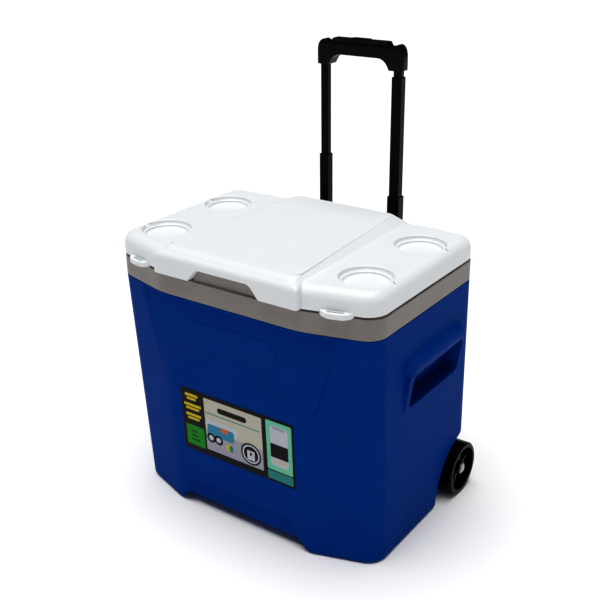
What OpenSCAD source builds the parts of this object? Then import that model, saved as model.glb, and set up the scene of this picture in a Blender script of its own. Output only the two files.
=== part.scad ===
// Rolling hard cooler: insulated chest with a hinged lid, two wheels and a telescoping pull handle.
// X runs along the long front, -Y is the front, +Y the back with the handle, +Z is up, and the feet
// and the wheels stand on z = 0. The handle is drawn pulled up.

/* [Chest] */
// Width over the chest's rim
chest_w = 465; // [440:1:560]
// Depth over the chest's rim
chest_d = 316; // [300:1:380]
// Height of the outer shell
shell_h = 375; // [340:1:450]
// Half width of the flat middle of the front at the rim
front_flat = 125; // [118:1:140]
// How far the front is set back at its corners
front_setback = 28; // [15:1:32]
// Radius of the two front corners
front_corner_r = 30; // [25:1:45]
// Radius of the two rear corners
rear_corner_r = 28; // [20:1:40]
// How much narrower each side is at the ground
side_draft = 4; // [0:0.2:6]
// How far the front is set in at the ground
front_draft = 14.5; // [0:0.5:18]
// How much further its corners are set back at the ground
setback_more = 6; // [0:1:8]
// How far the back leans out at the ground
back_lean = 14; // [0:1:18]
// Wall of the outer shell
shell_wall = 2.5; // [2:0.5:4]
// Depth of the panels sunk into the front
panel_depth = 4; // [2:0.5:5]
// Height of the arch between the feet
arch_h = 18; // [15:1:30]
// Half width of the arch
arch_half = 116; // [90:1:130]

/* [Liner and rim] */
// Height of the rim collar
collar_h = 31; // [24:1:40]
// Wall of the collar
collar_wall = 3; // [2.5:0.5:4]
// Insulation and walls between the inside and the outside
insulation = 42; // [38:1:46]
// Wall of the food liner
liner_wall = 2; // [1.5:0.5:3]
// Height of the inside floor over the ground
floor_z = 100; // [92:1:120]

/* [Side grips] */
// Length of the grip pocket
pocket_len = 150; // [110:1:170]
// Height of the grip pocket
pocket_h = 56; // [50:1:58]
// Depth of the grip pocket
pocket_depth = 28; // [20:1:30]
// Bottom of the grip pocket over the ground
pocket_z = 234; // [220:1:240]
// Middle of the pocket behind the chest's middle
pocket_y = 36; // [10:1:40]
// Radius of the rounded hood over the pocket
hood_r = 19; // [16:1:20]
// How far the hood stands out of the side
hood_out = 12; // [8:1:14]

/* [Lid] */
// Height of the lid's side panels over the collar
lid_h = 33; // [28:1:40]
// Height of the middle panel over the side panels
panel_rise = 8; // [5:1:10]
// Half width of the middle panel
panel_half = 112; // [100:1:120]
// How much the middle panel's top narrows on each side towards the back
panel_taper = 24; // [0:1:28]
// How far the middle panel stands out at the front
boss_out = 9; // [6:1:12]
// Wall of the lid
lid_wall = 3; // [2.5:0.5:4]
// Rounding of the lid's upper edge
lid_edge_r = 18; // [12:1:20]
// Radius of a can recess
cup_r = 38; // [34:0.5:40]
// Depth of a can recess
cup_depth = 11; // [6:1:13]
// Half distance of the can recesses along the front
cup_x = 181; // [178:1:186]
// Distance of the front can recesses before the chest's middle
cup_front = 78; // [70:1:80]
// Distance of the rear can recesses behind the chest's middle
cup_rear = 72; // [60:1:80]
// Half width of the finger notch
notch_half = 60; // [45:1:66]
// Height of the finger notch
notch_h = 20; // [16:1:22]
// Depth of the lid's plug into the chest
plug_depth = 11; // [6:1:14]
// Gap around the plug
plug_gap = 5; // [4:0.5:8]

/* [Hinges] */
// Half distance between the two hinges
hinge_x = 150; // [120:1:170]
// Height of the hinge line over the collar
hinge_rise = 26; // [24:0.5:28]
// Radius of a hinge knuckle
knuckle_r = 3.6; // [3:0.1:3.6]
// Radius of a hinge pin
hinge_pin_r = 1.6; // [1.2:0.1:2]

/* [Wheels] */
// Radius of a wheel
wheel_r = 44; // [42:0.5:46]
// Width of a wheel
wheel_w = 30; // [24:1:32]
// How far a wheel stands out of the side
wheel_proud = 10.5; // [4:0.5:10.5]
// Wheel centre behind the chest's middle
wheel_y = 134; // [130:1:138]
// Radius of the axle
axle_r = 4; // [3:0.5:5]
// Spokes in a wheel
spokes = 5; // [3:1:8]

/* [Pull handle] */
// Half distance between the two legs
leg_x = 67; // [55:1:75]
// Leg centre behind the chest's back at the rim
leg_back = 37; // [36:0.5:42]
// Width of the innermost tube
tube_w = 13.5; // [12:0.5:15]
// Depth of the innermost tube
tube_d = 12; // [11:0.5:13]
// Wall of the three outer tubes of a leg
tube_wall = 1.65; // [1.2:0.05:1.8]
// Gap between two tubes, each side
tube_gap = 0.35; // [0.3:0.05:0.5]
// Wall of the innermost tube
inner_wall = 1.2; // [1:0.1:1.6]
// Travel of the grip
handle_travel = 248; // [200:1:260]
// Height of the grip's lower ends over the collar when pushed down
grip_rise = 9; // [6:1:16]
// Height of the grip from its lower ends to its top
grip_h = 42; // [36:1:46]
// Height of the gap under the grip's bar over its lower ends
grip_arch = 18; // [12:1:20]
// Depth of the grip
grip_d = 22; // [21:0.5:24]
// Travel of the release button
button_travel = 4; // [3:0.5:4.5]
// Radius of a lock pin
lock_pin_r = 2.2; // [1.6:0.1:2.4]

/* [Label] */
// Width of the label
label_w = 214; // [120:1:220]
// Height of the label
label_h = 111; // [60:1:112]
// Thickness of the label
label_t = 0.4; // [0.2:0.1:0.6]
// Lower edge of the label over the ground
label_z = 111; // [90:1:125]
// Middle of the label beside the chest's middle
label_x = 2; // [-10:1:10]

/* [Hidden] */

eps = 0.02;
fit = 0.3;            // gap between two pieces that only lie side by side
run_gap = 0.05;       // radial running clearance of a pin, a shaft or a screw
arc_n = 7;            // segments of a rounded corner

half_w = chest_w / 2;
front_y = -chest_d / 2;
back_y = chest_d / 2;
collar_z = shell_h + fit;
rim_z = shell_h + collar_h;
lid_z = rim_z + 3;                    // lower edge of the lid, over a dark gap
side_top = lid_z + lid_h;             // top of the lid's side panels
panel_top = side_top + panel_rise;    // top of the lid's middle panel
boss_half = panel_half + 18;
in_half = half_w - insulation;        // inside of the liner
in_front = front_y + insulation;
in_back = back_y - insulation;

hinge_z = rim_z + hinge_rise;
hinge_leaf = 1.6;
lid_back = back_y - 2;
hinge_y = lid_back + hinge_leaf + fit + knuckle_r;

leg_y = back_y + leg_back;
leg_step = tube_wall + tube_gap;
sleeve_top = rim_z - 1;
sleeve_bottom = 72;
grip_z = rim_z + grip_rise + handle_travel;   // lower ends of the grip, pulled up
pin_drop = handle_travel - 40;                // lock pins under the grip's lower ends
pin_z = grip_z - pin_drop;
inner_bottom = pin_z - 10;
tube_len = 250;                               // length of an outer and of a middle tube
mid_drop_left = handle_travel - 100;          // tops of the tubes under the grip's lower ends
mid_drop_right = 10;
mid_top_left = grip_z - mid_drop_left;
mid_top_right = grip_z - mid_drop_right;
outer_top_left = sleeve_top + 20;
outer_top_right = sleeve_top + 58;
button_w = 34;
bracket_d = 29;
block_half = 18;                              // half width of a bracket's block around a sleeve
plate_t = 5;                                  // plate of a bracket
bracket_half = block_half + leg_x + 9.4;
bridge_half = 54;

wheel_out = half_w + wheel_proud;     // outer face of a wheel
wheel_in = wheel_out - wheel_w;       // inner face of a wheel
well_x = wheel_in - 5;                // inner wall of a wheel well
hub_r = 11;
cap_t = 2.6;
hub_out = wheel_out - 3.2;            // outer face of a hub

// The origin is at the middle of the whole object's footprint.
shift_y = -((leg_y + bracket_d / 2) + (front_y - boss_out)) / 2;

blue = "#0b3a8f";
white = "#eef0f2";
taupe = "#787370";
black = "#161617";
steel = "#b9bcc0";

// ---------- shared outlines and shapes ----------

function unit(v) = v / norm(v);

// Points of the arc that rounds corner p between its neighbours a and b.
function corner_arc(p, a, b, r) =
    let (u = unit(a - p), v = unit(b - p), half = acos(u * v) / 2,
        c = p + unit(u + v) * r / sin(half),
        s = p + u * r / tan(half) - c, e = p + v * r / tan(half) - c,
        t0 = atan2(s.y, s.x), dt = (atan2(e.y, e.x) - t0 + 540) % 360 - 180)
    [for (i = [0:arc_n]) c + r * [cos(t0 + dt * i / arc_n), sin(t0 + dt * i / arc_n)]];

// A polygon with each corner rounded by its own radius; 0 leaves it sharp.
function rounded(pts, radii) =
    let (n = len(pts))
    [for (i = [0:n - 1]) each (radii[i] > 0
        ? corner_arc(pts[i], pts[(i + n - 1) % n], pts[(i + 1) % n], radii[i]) : [pts[i]])];

// Outline with a flat front middle, set-back front corners and round corners, pulled in by inset.
function plan(hw, flat, front, setback, back, r_front, r_rear, inset = 0) =
    let (m = setback / (hw - flat), k = sqrt(1 + m * m),
        xf = flat - inset * (k - 1) / m,
        ys = front + m * (hw - inset - flat) + inset * k,
        rf = max(r_front - inset, 4), rr = max(r_rear - inset, 4))
    rounded([[-xf, front + inset], [xf, front + inset], [hw - inset, ys], [hw - inset, back - inset],
        [-(hw - inset), back - inset], [-(hw - inset), ys]], [0, 0, rf, rr, rr, rf]);

// Outline of the chest at height z over the ground, pulled in by inset and at the front by front_in more.
function chest_plan(z, inset = 0, front_in = 0) =
    let (low = 1 - z / shell_h)
    plan(half_w - side_draft * low, front_flat, front_y + front_draft * low + front_in,
        front_setback + setback_more * low, back_y + back_lean * low, front_corner_r, rear_corner_r, inset);

module slice(z, pts) { translate([0, 0, z]) linear_extrude(eps) polygon(pts); }

// Solid between two heights that follows the chest's drafted sides.
module chest_solid(z0, z1, inset, front_in = 0) {
    hull() {
        slice(z0, chest_plan(z0, inset, front_in));
        slice(z1 - eps, chest_plan(z1, inset, front_in));
    }
}

module round_rect(w, d, r) {
    square([w - 2 * r, d], center = true);
    square([w, d - 2 * r], center = true);
    for (sx = [-1, 1], sy = [-1, 1])
        translate([sx * (w / 2 - r), sy * (d / 2 - r)]) circle(r, $fn = 24);
}

module both_sides() { for (s = [-1, 1]) scale_x(s) children(); }
module scale_x(s) { if (s < 0) mirror([1, 0, 0]) children(); else children(); }
module place() { translate([0, shift_y, 0]) children(); }
module along_x(x0, x1, r, fn = 32) {
    translate([x0, 0, 0]) rotate([0, 90, 0]) cylinder(h = x1 - x0, r = r, $fn = fn);
}
module along_y(y0, y1, r, fn = 24) {
    translate([0, y0, 0]) rotate([-90, 0, 0]) cylinder(h = y1 - y0, r = r, $fn = fn);
}
// Prism through the front, drawn in X and Z and running from y0 to y1.
module front_prism(pts, y0, y1) {
    translate([0, y1, 0]) rotate([90, 0, 0]) linear_extrude(y1 - y0) polygon(pts);
}
// Prism through a side, drawn in Y and Z and running from x0 to x1.
module side_prism(pts, x0, x1) {
    translate([x0, 0, 0]) rotate([90, 0, 90]) linear_extrude(x1 - x0) polygon(pts);
}

// ---------- chest ----------

pocket_top = pocket_z + pocket_h;
hood_x = half_w - hood_r + hood_out - 1;
hood_z = pocket_top + hood_r - 7;
hood_root = half_w - 25;  // the hood and its frame start inside the wall
cheek = 15;               // width of the frame beside a grip pocket
// Round bar that forms the hood over a grip pocket, and the frame that fades out below it.
module hood() {
    frame_half = pocket_len / 2 + cheek;
    translate([hood_x, pocket_y, hood_z]) {
        along_y(-pocket_len / 2, pocket_len / 2, hood_r, 48);
        for (s = [-1, 1]) translate([0, s * pocket_len / 2, 0]) sphere(hood_r, $fn = 48);
    }
    front_prism([[hood_root, pocket_z - 8], [half_w - 1.2, pocket_z - 4], [hood_x + hood_r - 2.5, hood_z - 6],
        [hood_root, hood_z]], pocket_y - frame_half, pocket_y + frame_half);
}
// The pocket's hollow, larger by grow on all sides but the open one.
module pocket(grow) {
    x0 = half_w - pocket_depth - grow;
    translate([x0, pocket_y, pocket_z - grow]) rotate([90, 0, 90]) linear_extrude(100)
        translate([0, pocket_h / 2 + grow]) round_rect(pocket_len + 2 * grow, pocket_h + 2 * grow, 8 + grow);
}
// Space for a wheel, open to the side, the back and the ground.
module wheel_well(grow) {
    y_front = wheel_y - wheel_r - 18 - grow;
    top = 2 * wheel_r + grow;
    side_prism([[y_front - 4, -1], [y_front, wheel_r - 4], [wheel_y - 30 - 0.7 * grow, top],
        [wheel_y + 4, top + 11], [wheel_y + 106, top + 44], [wheel_y + 106, -1]],
        well_x - grow, well_x + 100);
}
// Cut-away behind the wheels, so that the tilted chest clears the ground.
module rear_undercut() {
    side_prism([[wheel_y + 2, -1], [wheel_y + 10, 3], [wheel_y + 60, 44], [wheel_y + 60, -1]], -well_x - 1, well_x + 1);
}
panel_high = shell_h - 5;     // upper and lower edge of the wide panel
panel_low = shell_h - 135;
panel_high_half = 178;
panel_low_half = 139;
toe_top = 52;                 // upper edge of the low panel
toe_half = 97;
toe_flare = 22;               // how much wider the low panel is at the ground, on each side
arch_flare = 14;              // the same for the arch
badge_z = shell_h - 56;
badge_half = 86;
badge_half_h = 22;
badge_t = 1.2;
panel_outline = rounded([[-panel_high_half, panel_high], [-panel_low_half, panel_low],
    [panel_low_half, panel_low], [panel_high_half, panel_high]], [0, 18, 18, 0]);
toe_outline = rounded([[-toe_half - toe_flare, -1], [-toe_half, toe_top],
    [toe_half, toe_top], [toe_half + toe_flare, -1]], [0, 10, 10, 0]);
badge_outline = rounded([[-badge_half, badge_z], [-badge_half + 20, badge_z - badge_half_h],
    [badge_half - 20, badge_z - badge_half_h], [badge_half, badge_z],
    [badge_half - 20, badge_z + badge_half_h], [-badge_half + 20, badge_z + badge_half_h]],
    [6, 8, 8, 6, 8, 8]);

// Panels sunk into the front: the wide one under the rim and the low one between the feet.
module front_panels(depth) {
    difference() {
        union() {
            front_prism(panel_outline, front_y - 20, 0);
            front_prism(toe_outline, front_y - 20, 0);
        }
        chest_solid(-2, shell_h + 1, depth);
    }
}
module axle_boss(r) { translate([0, wheel_y, wheel_r]) along_x(-well_x, well_x, r, 48); }

module shell_outside() {
    difference() {
        union() { chest_solid(0, shell_h, 0); intersection() { both_sides() hood(); chest_band(); } }
        front_panels(panel_depth);
        both_sides() wheel_well(0);
        rear_undercut();
        front_prism([[-arch_half - arch_flare, -1], [-arch_half, arch_h], [arch_half, arch_h],
            [arch_half + arch_flare, -1]], front_y - 20, back_y + 40);
    }
}
module chest_band() { translate([-half_w - 40, front_y - 40, 0]) cube([chest_w + 80, chest_d + 80, shell_h - 8]); }

foot_x = arch_half + arch_flare + shell_wall + 2;                // inner front corner of a hollow foot
foot_y = front_y + front_draft + front_setback + setback_more + 16;
// The hollow of the outer shell, which the foam fills.
module shell_hollow() {
    difference() {
        union() {
            chest_solid(arch_h + shell_wall, shell_h + 40, shell_wall, panel_depth);
            both_sides() translate([foot_x, foot_y, shell_wall])
                cube([half_w - 12 - foot_x, wheel_y - wheel_r - 38 - foot_y, arch_h + 5]);
        }
        both_sides() { pocket(shell_wall); wheel_well(shell_wall); }
        axle_boss(axle_r + 5);
    }
}
module bracket_holes(r) {
    for (x = bracket_screw_x, z = bracket_screw_z)
        translate([x, 0, z]) along_y(back_y - 8, leg_y, r);
}
module outer_shell() {
    color(blue) place() {
        difference() {
            shell_outside();
            shell_hollow();
            both_sides() pocket(0);
            axle_boss(axle_r + run_gap);
            bracket_holes(bracket_screw_r + run_gap);
        }
        // Raised plain badge on the upper panel, rooted in the wall.
        intersection() {
            front_prism(badge_outline, front_y - 20, 0);
            difference() {
                chest_solid(-2, shell_h + 1, panel_depth - badge_t);
                chest_solid(-3, shell_h + 2, panel_depth + shell_wall / 2);
            }
        }
    }
}
module foam_core() {
    color("#e9d9a8") place() difference() {
        intersection() {
            shell_hollow();
            translate([-chest_w, -chest_d, 0]) cube([2 * chest_w, 2 * chest_d, shell_h]);
        }
        liner_solid(liner_wall, liner_top);
    }
}

// ---------- liner and rim ----------

function liner_plan(z, grow) =
    let (low = 1 - (z - floor_z) / (rim_z - floor_z))
    plan(in_half - 6 * low, front_flat - 12, in_front + 5 * low, front_setback - 6, in_back - 5 * low, 34, 30, -grow);

liner_top = rim_z - collar_wall;
// The liner's inside, or its outside when grow is the wall.
module liner_solid(grow, top) {
    hull() {
        slice(floor_z - grow, liner_plan(floor_z, grow));
        slice(top - eps, liner_plan(top, grow));
    }
}
module food_liner() {
    color(white) place() difference() {
        liner_solid(liner_wall, liner_top);
        liner_solid(0, rim_z + 1);
    }
}
module rim_collar() {
    color(taupe) place() difference() {
        linear_extrude_at(collar_z, rim_z) polygon(chest_plan(shell_h, 0));
        linear_extrude_at(collar_z - 1, rim_z - collar_wall) polygon(chest_plan(shell_h, collar_wall));
        linear_extrude_at(rim_z - collar_wall - 1, rim_z + 1) polygon(liner_plan(rim_z, 0));
        for (s = [-1, 1], d = [-1, 1])
            translate([s * hinge_x + d * hinge_screw_dx, 0, hinge_screw_z])
                along_y(back_y - 10, back_y + 5, hinge_screw_r + run_gap);
    }
}
module linear_extrude_at(z0, z1) { translate([0, 0, z0]) linear_extrude(z1 - z0) children(); }

module front_label() {
    label_y = front_y + front_draft * (1 - label_z / shell_h);
    color(black) place() translate([label_x - label_w / 2, label_y, label_z])
        rotate([atan(front_draft / shell_h), 0, 0]) translate([0, -label_t - eps, 0]) cube([label_w, label_t, label_h]);
}

// ---------- lid ----------

// The lid's plan at a step of its rounded upper edge.
function lid_plan(inset) = plan(half_w, front_flat, front_y, front_setback, lid_back, front_corner_r, rear_corner_r,
    inset);

// Rounded block over the whole lid, pulled in by inset on all sides.
module lid_block(inset, top) {
    hull() {
        slice(lid_z, lid_plan(inset + 1.5));
        for (i = [0:5])
            let (a = i * 18, r = max(lid_edge_r - inset, 4))
            slice(top - r + r * sin(a), lid_plan(inset + r - r * cos(a)));
    }
}
// Raised middle panel with its rounded front boss.
module panel_block(inset, top) {
    front = front_y - boss_out;
    hull() {
        slice(lid_z, rounded([[-boss_half + inset, front + inset + 1], [boss_half - inset, front + inset + 1],
            [boss_half - inset, lid_back - 30], [-boss_half + inset, lid_back - 30]], [10, 10, 0, 0]));
        slice(lid_z + 18, rounded([[-boss_half + inset, front + inset], [boss_half - inset, front + inset],
            [boss_half - inset, lid_back - 30], [-boss_half + inset, lid_back - 30]], [10, 10, 0, 0]));
        for (i = [0:4])
            let (a = i * 22.5, r = 24 - inset, x = panel_half - inset + 8 * cos(a), y = front + inset + r - r * cos(a),
                x_rear = x - panel_taper * sin(a), y_rear = lid_back - inset - 8)
            slice(top - r + r * sin(a), rounded([[-x, y], [x, y], [x_rear, y_rear], [-x_rear, y_rear]],
                [14, 14, 10, 10]));
    }
}
// Recess for the fingers under the lid's front, larger by grow on its closed sides.
module finger_notch(grow) {
    low = lid_z - 5;
    top = lid_z + notch_h + grow;
    front_prism(rounded([[-notch_half - 8 - grow, low], [-notch_half + 12 - grow, top],
        [notch_half - 12 + grow, top], [notch_half + 8 + grow, low]], [0, 5, 5, 0]),
        front_y - 20, front_y + 3 + grow);
}
module at_cups() {
    for (s = [-1, 1], y = [-cup_front, cup_rear]) translate([s * cup_x, y, 0]) scale_x(s) children();
}
ear_x = 176;
ear_half = 24;
ear_out = 13;
ear_t = 6;
// Slotted ear for a tie-down cord, at the set-back front corners.
module tie_ear() {
    m = front_setback / (half_w - front_flat);
    translate([ear_x, front_y + m * (ear_x - front_flat) + 1, lid_z]) rotate(atan(m)) children();
}
module lid_shell() {
    color(white) place() {
        difference() {
            union() { lid_block(0, side_top); panel_block(0, panel_top); }
            difference() {
                union() {
                    translate([0, 0, -eps * 2]) lid_block(lid_wall, side_top - lid_wall);
                    translate([0, 0, -eps * 2]) panel_block(lid_wall, panel_top - lid_wall);
                }
                at_cups() linear_extrude_at(side_top - cup_depth - lid_wall, side_top) circle(cup_r + lid_wall, $fn = 64);
                finger_notch(lid_wall);
            }
            at_cups() {
                linear_extrude_at(side_top - cup_depth + 3, side_top + 20) circle(cup_r, $fn = 64);
                linear_extrude_at(side_top - cup_depth, side_top + 1) circle(cup_r - 4, $fn = 64);
                // V-shaped drain to the outer edge.
                translate([0, 0, side_top - 4]) linear_extrude(10)
                    polygon([[cup_r - 8, -9], [cup_r + 7, 0], [cup_r - 8, 9]]);
            }
            finger_notch(0);
            for (s = [-1, 1], z = lid_screw_z)
                translate([s * hinge_x, 0, z]) along_y(lid_back - 12, lid_back + 5, hinge_screw_r + run_gap);
        }
        both_sides() tie_ear() difference() {
            linear_extrude(ear_t) circle_cap(ear_half, ear_out, 2);
            translate([0, -4.5, -1]) linear_extrude(ear_t + 2) round_rect(27, 6.4, 3.1);
        }
    }
}
// Flat circular segment of half width a that stands out by h towards -Y, with a straight part behind it.
module circle_cap(a, h, behind) {
    r = (a * a + h * h) / (2 * h);
    intersection() {
        translate([0, r - h]) circle(r, $fn = 96);
        translate([-a, -h - 1]) square([2 * a, h + 1 + behind]);
    }
}
module lid_liner() {
    plug_low = rim_z - plug_depth;
    base_z = lid_z + 0.5;
    color(white) place() difference() {
        union() {
            difference() {
                linear_extrude_at(base_z, base_z + 2) polygon(lid_plan(lid_wall + 1.5 + fit));
                finger_notch(lid_wall + fit);
            }
            linear_extrude_at(plug_low, base_z + 1) polygon(liner_plan(rim_z, -plug_gap));
        }
        linear_extrude_at(plug_low + 2.5, base_z + 3) polygon(liner_plan(rim_z, -plug_gap - 2.5));
    }
}

// ---------- hinges ----------

hinge_half = 22;
knuckle_in = 7.5;
hinge_screw_r = 1.6;
hinge_screw_dx = 13;
hinge_screw_z = rim_z - 12;
lid_screw_z = [lid_z + 5, lid_z + 12];
leaf_y = back_y + fit;

// Fixed leaf: a plate on the collar with two arms up to its knuckles.
module body_leaf() {
    color(black) place() difference() {
        union() {
            translate([-hinge_half, leaf_y, collar_z + 4]) cube([2 * hinge_half, 2.6, collar_h - 8]);
            for (s = [-1, 1]) scale_x(s) {
                translate([knuckle_in + fit, leaf_y, rim_z - 6])
                    cube([hinge_half - knuckle_in - fit, hinge_y - leaf_y + 0.5, hinge_rise + 6]);
                translate([0, hinge_y, hinge_z]) along_x(knuckle_in + fit, hinge_half, knuckle_r, 32);
            }
        }
        translate([0, hinge_y, hinge_z]) along_x(-hinge_half - 1, hinge_half + 1, hinge_pin_r, 32);
        for (d = [-1, 1]) translate([d * hinge_screw_dx, 0, hinge_screw_z])
            along_y(back_y - 10, back_y + 10, hinge_screw_r + run_gap);
    }
}
// Moving leaf: a plate on the lid's back with one knuckle in the middle.
module lid_leaf() {
    color(black) place() difference() {
        union() {
            translate([-knuckle_in, lid_back, lid_z + 1]) cube([2 * knuckle_in, hinge_leaf, lid_h - 14]);
            translate([-knuckle_in, lid_back + 0.2, hinge_z - knuckle_r])
                cube([2 * knuckle_in, hinge_y - lid_back - 0.2, knuckle_r]);
            translate([0, hinge_y, hinge_z]) along_x(-knuckle_in, knuckle_in, knuckle_r, 32);
        }
        translate([0, hinge_y, hinge_z]) along_x(-knuckle_in - 1, knuckle_in + 1, hinge_pin_r + run_gap, 32);
        for (z = lid_screw_z) translate([0, 0, z]) along_y(lid_back - 1, lid_back + 5, hinge_screw_r + run_gap);
    }
}
module hinge_body_leaf_left() { translate([-hinge_x, 0, 0]) body_leaf(); }
module hinge_body_leaf_right() { translate([hinge_x, 0, 0]) body_leaf(); }
module hinge_lid_leaf_left() { translate([-hinge_x, 0, 0]) lid_leaf(); }
module hinge_lid_leaf_right() { translate([hinge_x, 0, 0]) lid_leaf(); }
module hinge_pins() {
    color(steel) place() for (s = [-1, 1])
        translate([s * hinge_x, hinge_y, hinge_z]) along_x(-hinge_half, hinge_half, hinge_pin_r, 32);
}
// Pan-head screw along Y: its head's seat is at y = 0 and its shank runs towards -Y.
module screw(r, len) {
    along_y(-len, 0.2, r, 24);
    along_y(0, 1.3, r * 1.9, 24);
}
module hinge_body_screws() {
    color(steel) place() for (s = [-1, 1], d = [-1, 1])
        translate([s * hinge_x + d * hinge_screw_dx, leaf_y + 2.6, hinge_screw_z]) screw(hinge_screw_r, 5.5);
}
module hinge_lid_screws() {
    color(steel) place() for (s = [-1, 1], z = lid_screw_z)
        translate([s * hinge_x, lid_back + hinge_leaf, z]) screw(hinge_screw_r, 4);
}

// ---------- wheels ----------

module axle() {
    color(steel) place() translate([0, wheel_y, wheel_r])
        along_x(-hub_out - cap_t + 0.8, hub_out + cap_t - 0.8, axle_r, 48);
}
// Right wheel at the origin of its own axle, outer face towards +X.
module wheel() {
    web_in = wheel_in + 9;
    web_out = wheel_out - 8;
    color(black) place() translate([0, wheel_y, wheel_r]) rotate([90, 0, 90]) difference() {
        union() {
            rotate_extrude($fn = 96) polygon([[wheel_r - 8, wheel_in], [wheel_r - 2.5, wheel_in],
                [wheel_r, wheel_in + 2.5], [wheel_r, wheel_out - 2.5], [wheel_r - 2.5, wheel_out],
                [wheel_r - 8, wheel_out]]);
            linear_extrude_at(web_in, web_in + 3) circle(wheel_r - 7, $fn = 96);
            linear_extrude_at(wheel_in - 3, hub_out) circle(hub_r, $fn = 64);
            for (i = [0:spokes - 1]) rotate(i * 360 / spokes + 90)
                translate([0, -4.5, web_in]) cube([wheel_r - 7, 9, web_out - web_in]);
        }
        linear_extrude_at(wheel_in - 4, wheel_out + 1) circle(axle_r + run_gap, $fn = 48);
    }
}
module wheel_right() { wheel(); }
module wheel_left() { mirror([1, 0, 0]) wheel(); }
module axle_washers() {
    color(steel) place() both_sides() translate([0, wheel_y, wheel_r]) difference() {
        along_x(well_x + 0.1, wheel_in - 3 - fit, hub_r - 1, 48);
        along_x(well_x - 1, wheel_in + 1, axle_r + run_gap, 48);
    }
}
// Domed push-on cap on each end of the axle.
module axle_caps() {
    color(steel) place() both_sides() translate([0, wheel_y, wheel_r]) difference() {
        union() {
            along_x(hub_out + fit, hub_out + 1.4, hub_r - 3, 48);
            along_x(hub_out + fit, hub_out + cap_t + 0.3, axle_r + 1.6, 48);
        }
        along_x(hub_out - 1, hub_out + cap_t - 0.8, axle_r, 48);
    }
}

// ---------- pull handle ----------

bracket_top_z = [350, 398];
bracket_low_z = [sleeve_bottom - 6, sleeve_bottom + 30];
bracket_screw_r = 2;
bracket_screw_x = [-bracket_half + 5, 0, bracket_half - 5];
bracket_screw_z = [bracket_top_z[0] + 9, bracket_low_z[1] - 9];

// Tube number n of a leg, counted out from the innermost one, between two heights.
module leg_tube(n, z0, z1, wall) {
    w = tube_w + 2 * n * leg_step;
    d = tube_d + 2 * n * leg_step;
    linear_extrude_at(z0, z1) difference() {
        round_rect(w, d, 2 + n * 0.4);
        round_rect(w - 2 * wall, d - 2 * wall, max(1, 2 + n * 0.4 - wall));
    }
}
module at_leg(s) { place() translate([s * leg_x, leg_y, 0]) scale_x(s) children(); }

module sleeve() { leg_tube(3, sleeve_bottom, sleeve_top, tube_wall); }
module sleeve_left() { color(black) at_leg(-1) sleeve(); }
module sleeve_right() { color(black) at_leg(1) sleeve(); }
module outer_tube_left() { color(black) at_leg(-1) leg_tube(2, outer_top_left - tube_len, outer_top_left, tube_wall); }
module outer_tube_right() { color(black) at_leg(1) leg_tube(2, outer_top_right - tube_len, outer_top_right, tube_wall); }

// Second tube, with the two holes for the lock pin on its inner side.
module mid_tube(top) {
    difference() {
        leg_tube(1, top - tube_len, top, tube_wall);
        for (drop = [mid_drop_left, mid_drop_right])
            translate([0, 0, top - pin_drop + drop]) along_x(-tube_w, 0, lock_pin_r + 0.4, 32);
    }
}
module mid_tube_left() { color(black) at_leg(-1) mid_tube(mid_top_left); }
module mid_tube_right() { color(black) at_leg(1) mid_tube(mid_top_right); }

module inner_tube() {
    difference() {
        leg_tube(0, inner_bottom, grip_z + 14, inner_wall);
        translate([0, 0, pin_z]) along_x(-tube_w, 0, lock_pin_r + run_gap, 32);
    }
}
module inner_tube_left() { color(black) at_leg(-1) inner_tube(); }
module inner_tube_right() { color(black) at_leg(1) inner_tube(); }

plug_w = tube_w - 2 * inner_wall - 0.2;
plug_d = tube_d - 2 * inner_wall - 0.2;
// Guide in the foot of each inner tube, with the lock pin's bore.
module tube_plugs() {
    color("#3a3a3c") for (s = [-1, 1]) at_leg(s) difference() {
        linear_extrude_at(inner_bottom, pin_z + 8) round_rect(plug_w, plug_d, 1);
        translate([0, 0, pin_z]) along_x(-plug_w, plug_w / 2 - 1.5, lock_pin_r + run_gap, 32);
        linear_extrude_at(pin_z + 3.2, pin_z + 9) circle(rod_r + 0.2, $fn = 32);
    }
}
rod_r = 2;
pin_tip = tube_w / 2 + tube_gap - 0.15;
module lock_pin() { translate([0, 0, pin_z]) along_x(-pin_tip, 0.5, lock_pin_r, 32); }
module lock_pin_left() { color(steel) at_leg(-1) lock_pin(); }
module lock_pin_right() { color(steel) at_leg(1) lock_pin(); }

grip_half = leg_x + 11.5;
socket_half = 10.5;
bar_low = grip_z + grip_arch;
bar_top = grip_z + grip_h - 5;

// Outline of the grip from the front: two sockets, an arched underside and a horn at each end.
grip_outline = rounded([[-grip_half, grip_z], [-leg_x + socket_half, grip_z], [-leg_x + socket_half + 7, bar_low],
    [leg_x - socket_half - 7, bar_low], [leg_x - socket_half, grip_z], [grip_half, grip_z],
    [grip_half + 1, grip_z + 26], [leg_x + 1, bar_top + 4], [leg_x - 5, bar_top - 1],
    [-leg_x + 5, bar_top - 1], [-leg_x - 1, bar_top + 4], [-grip_half - 1, grip_z + 26]],
    [1, 1, 9, 9, 1, 1, 12, 1.5, 1, 1, 1.5, 12]);

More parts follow.
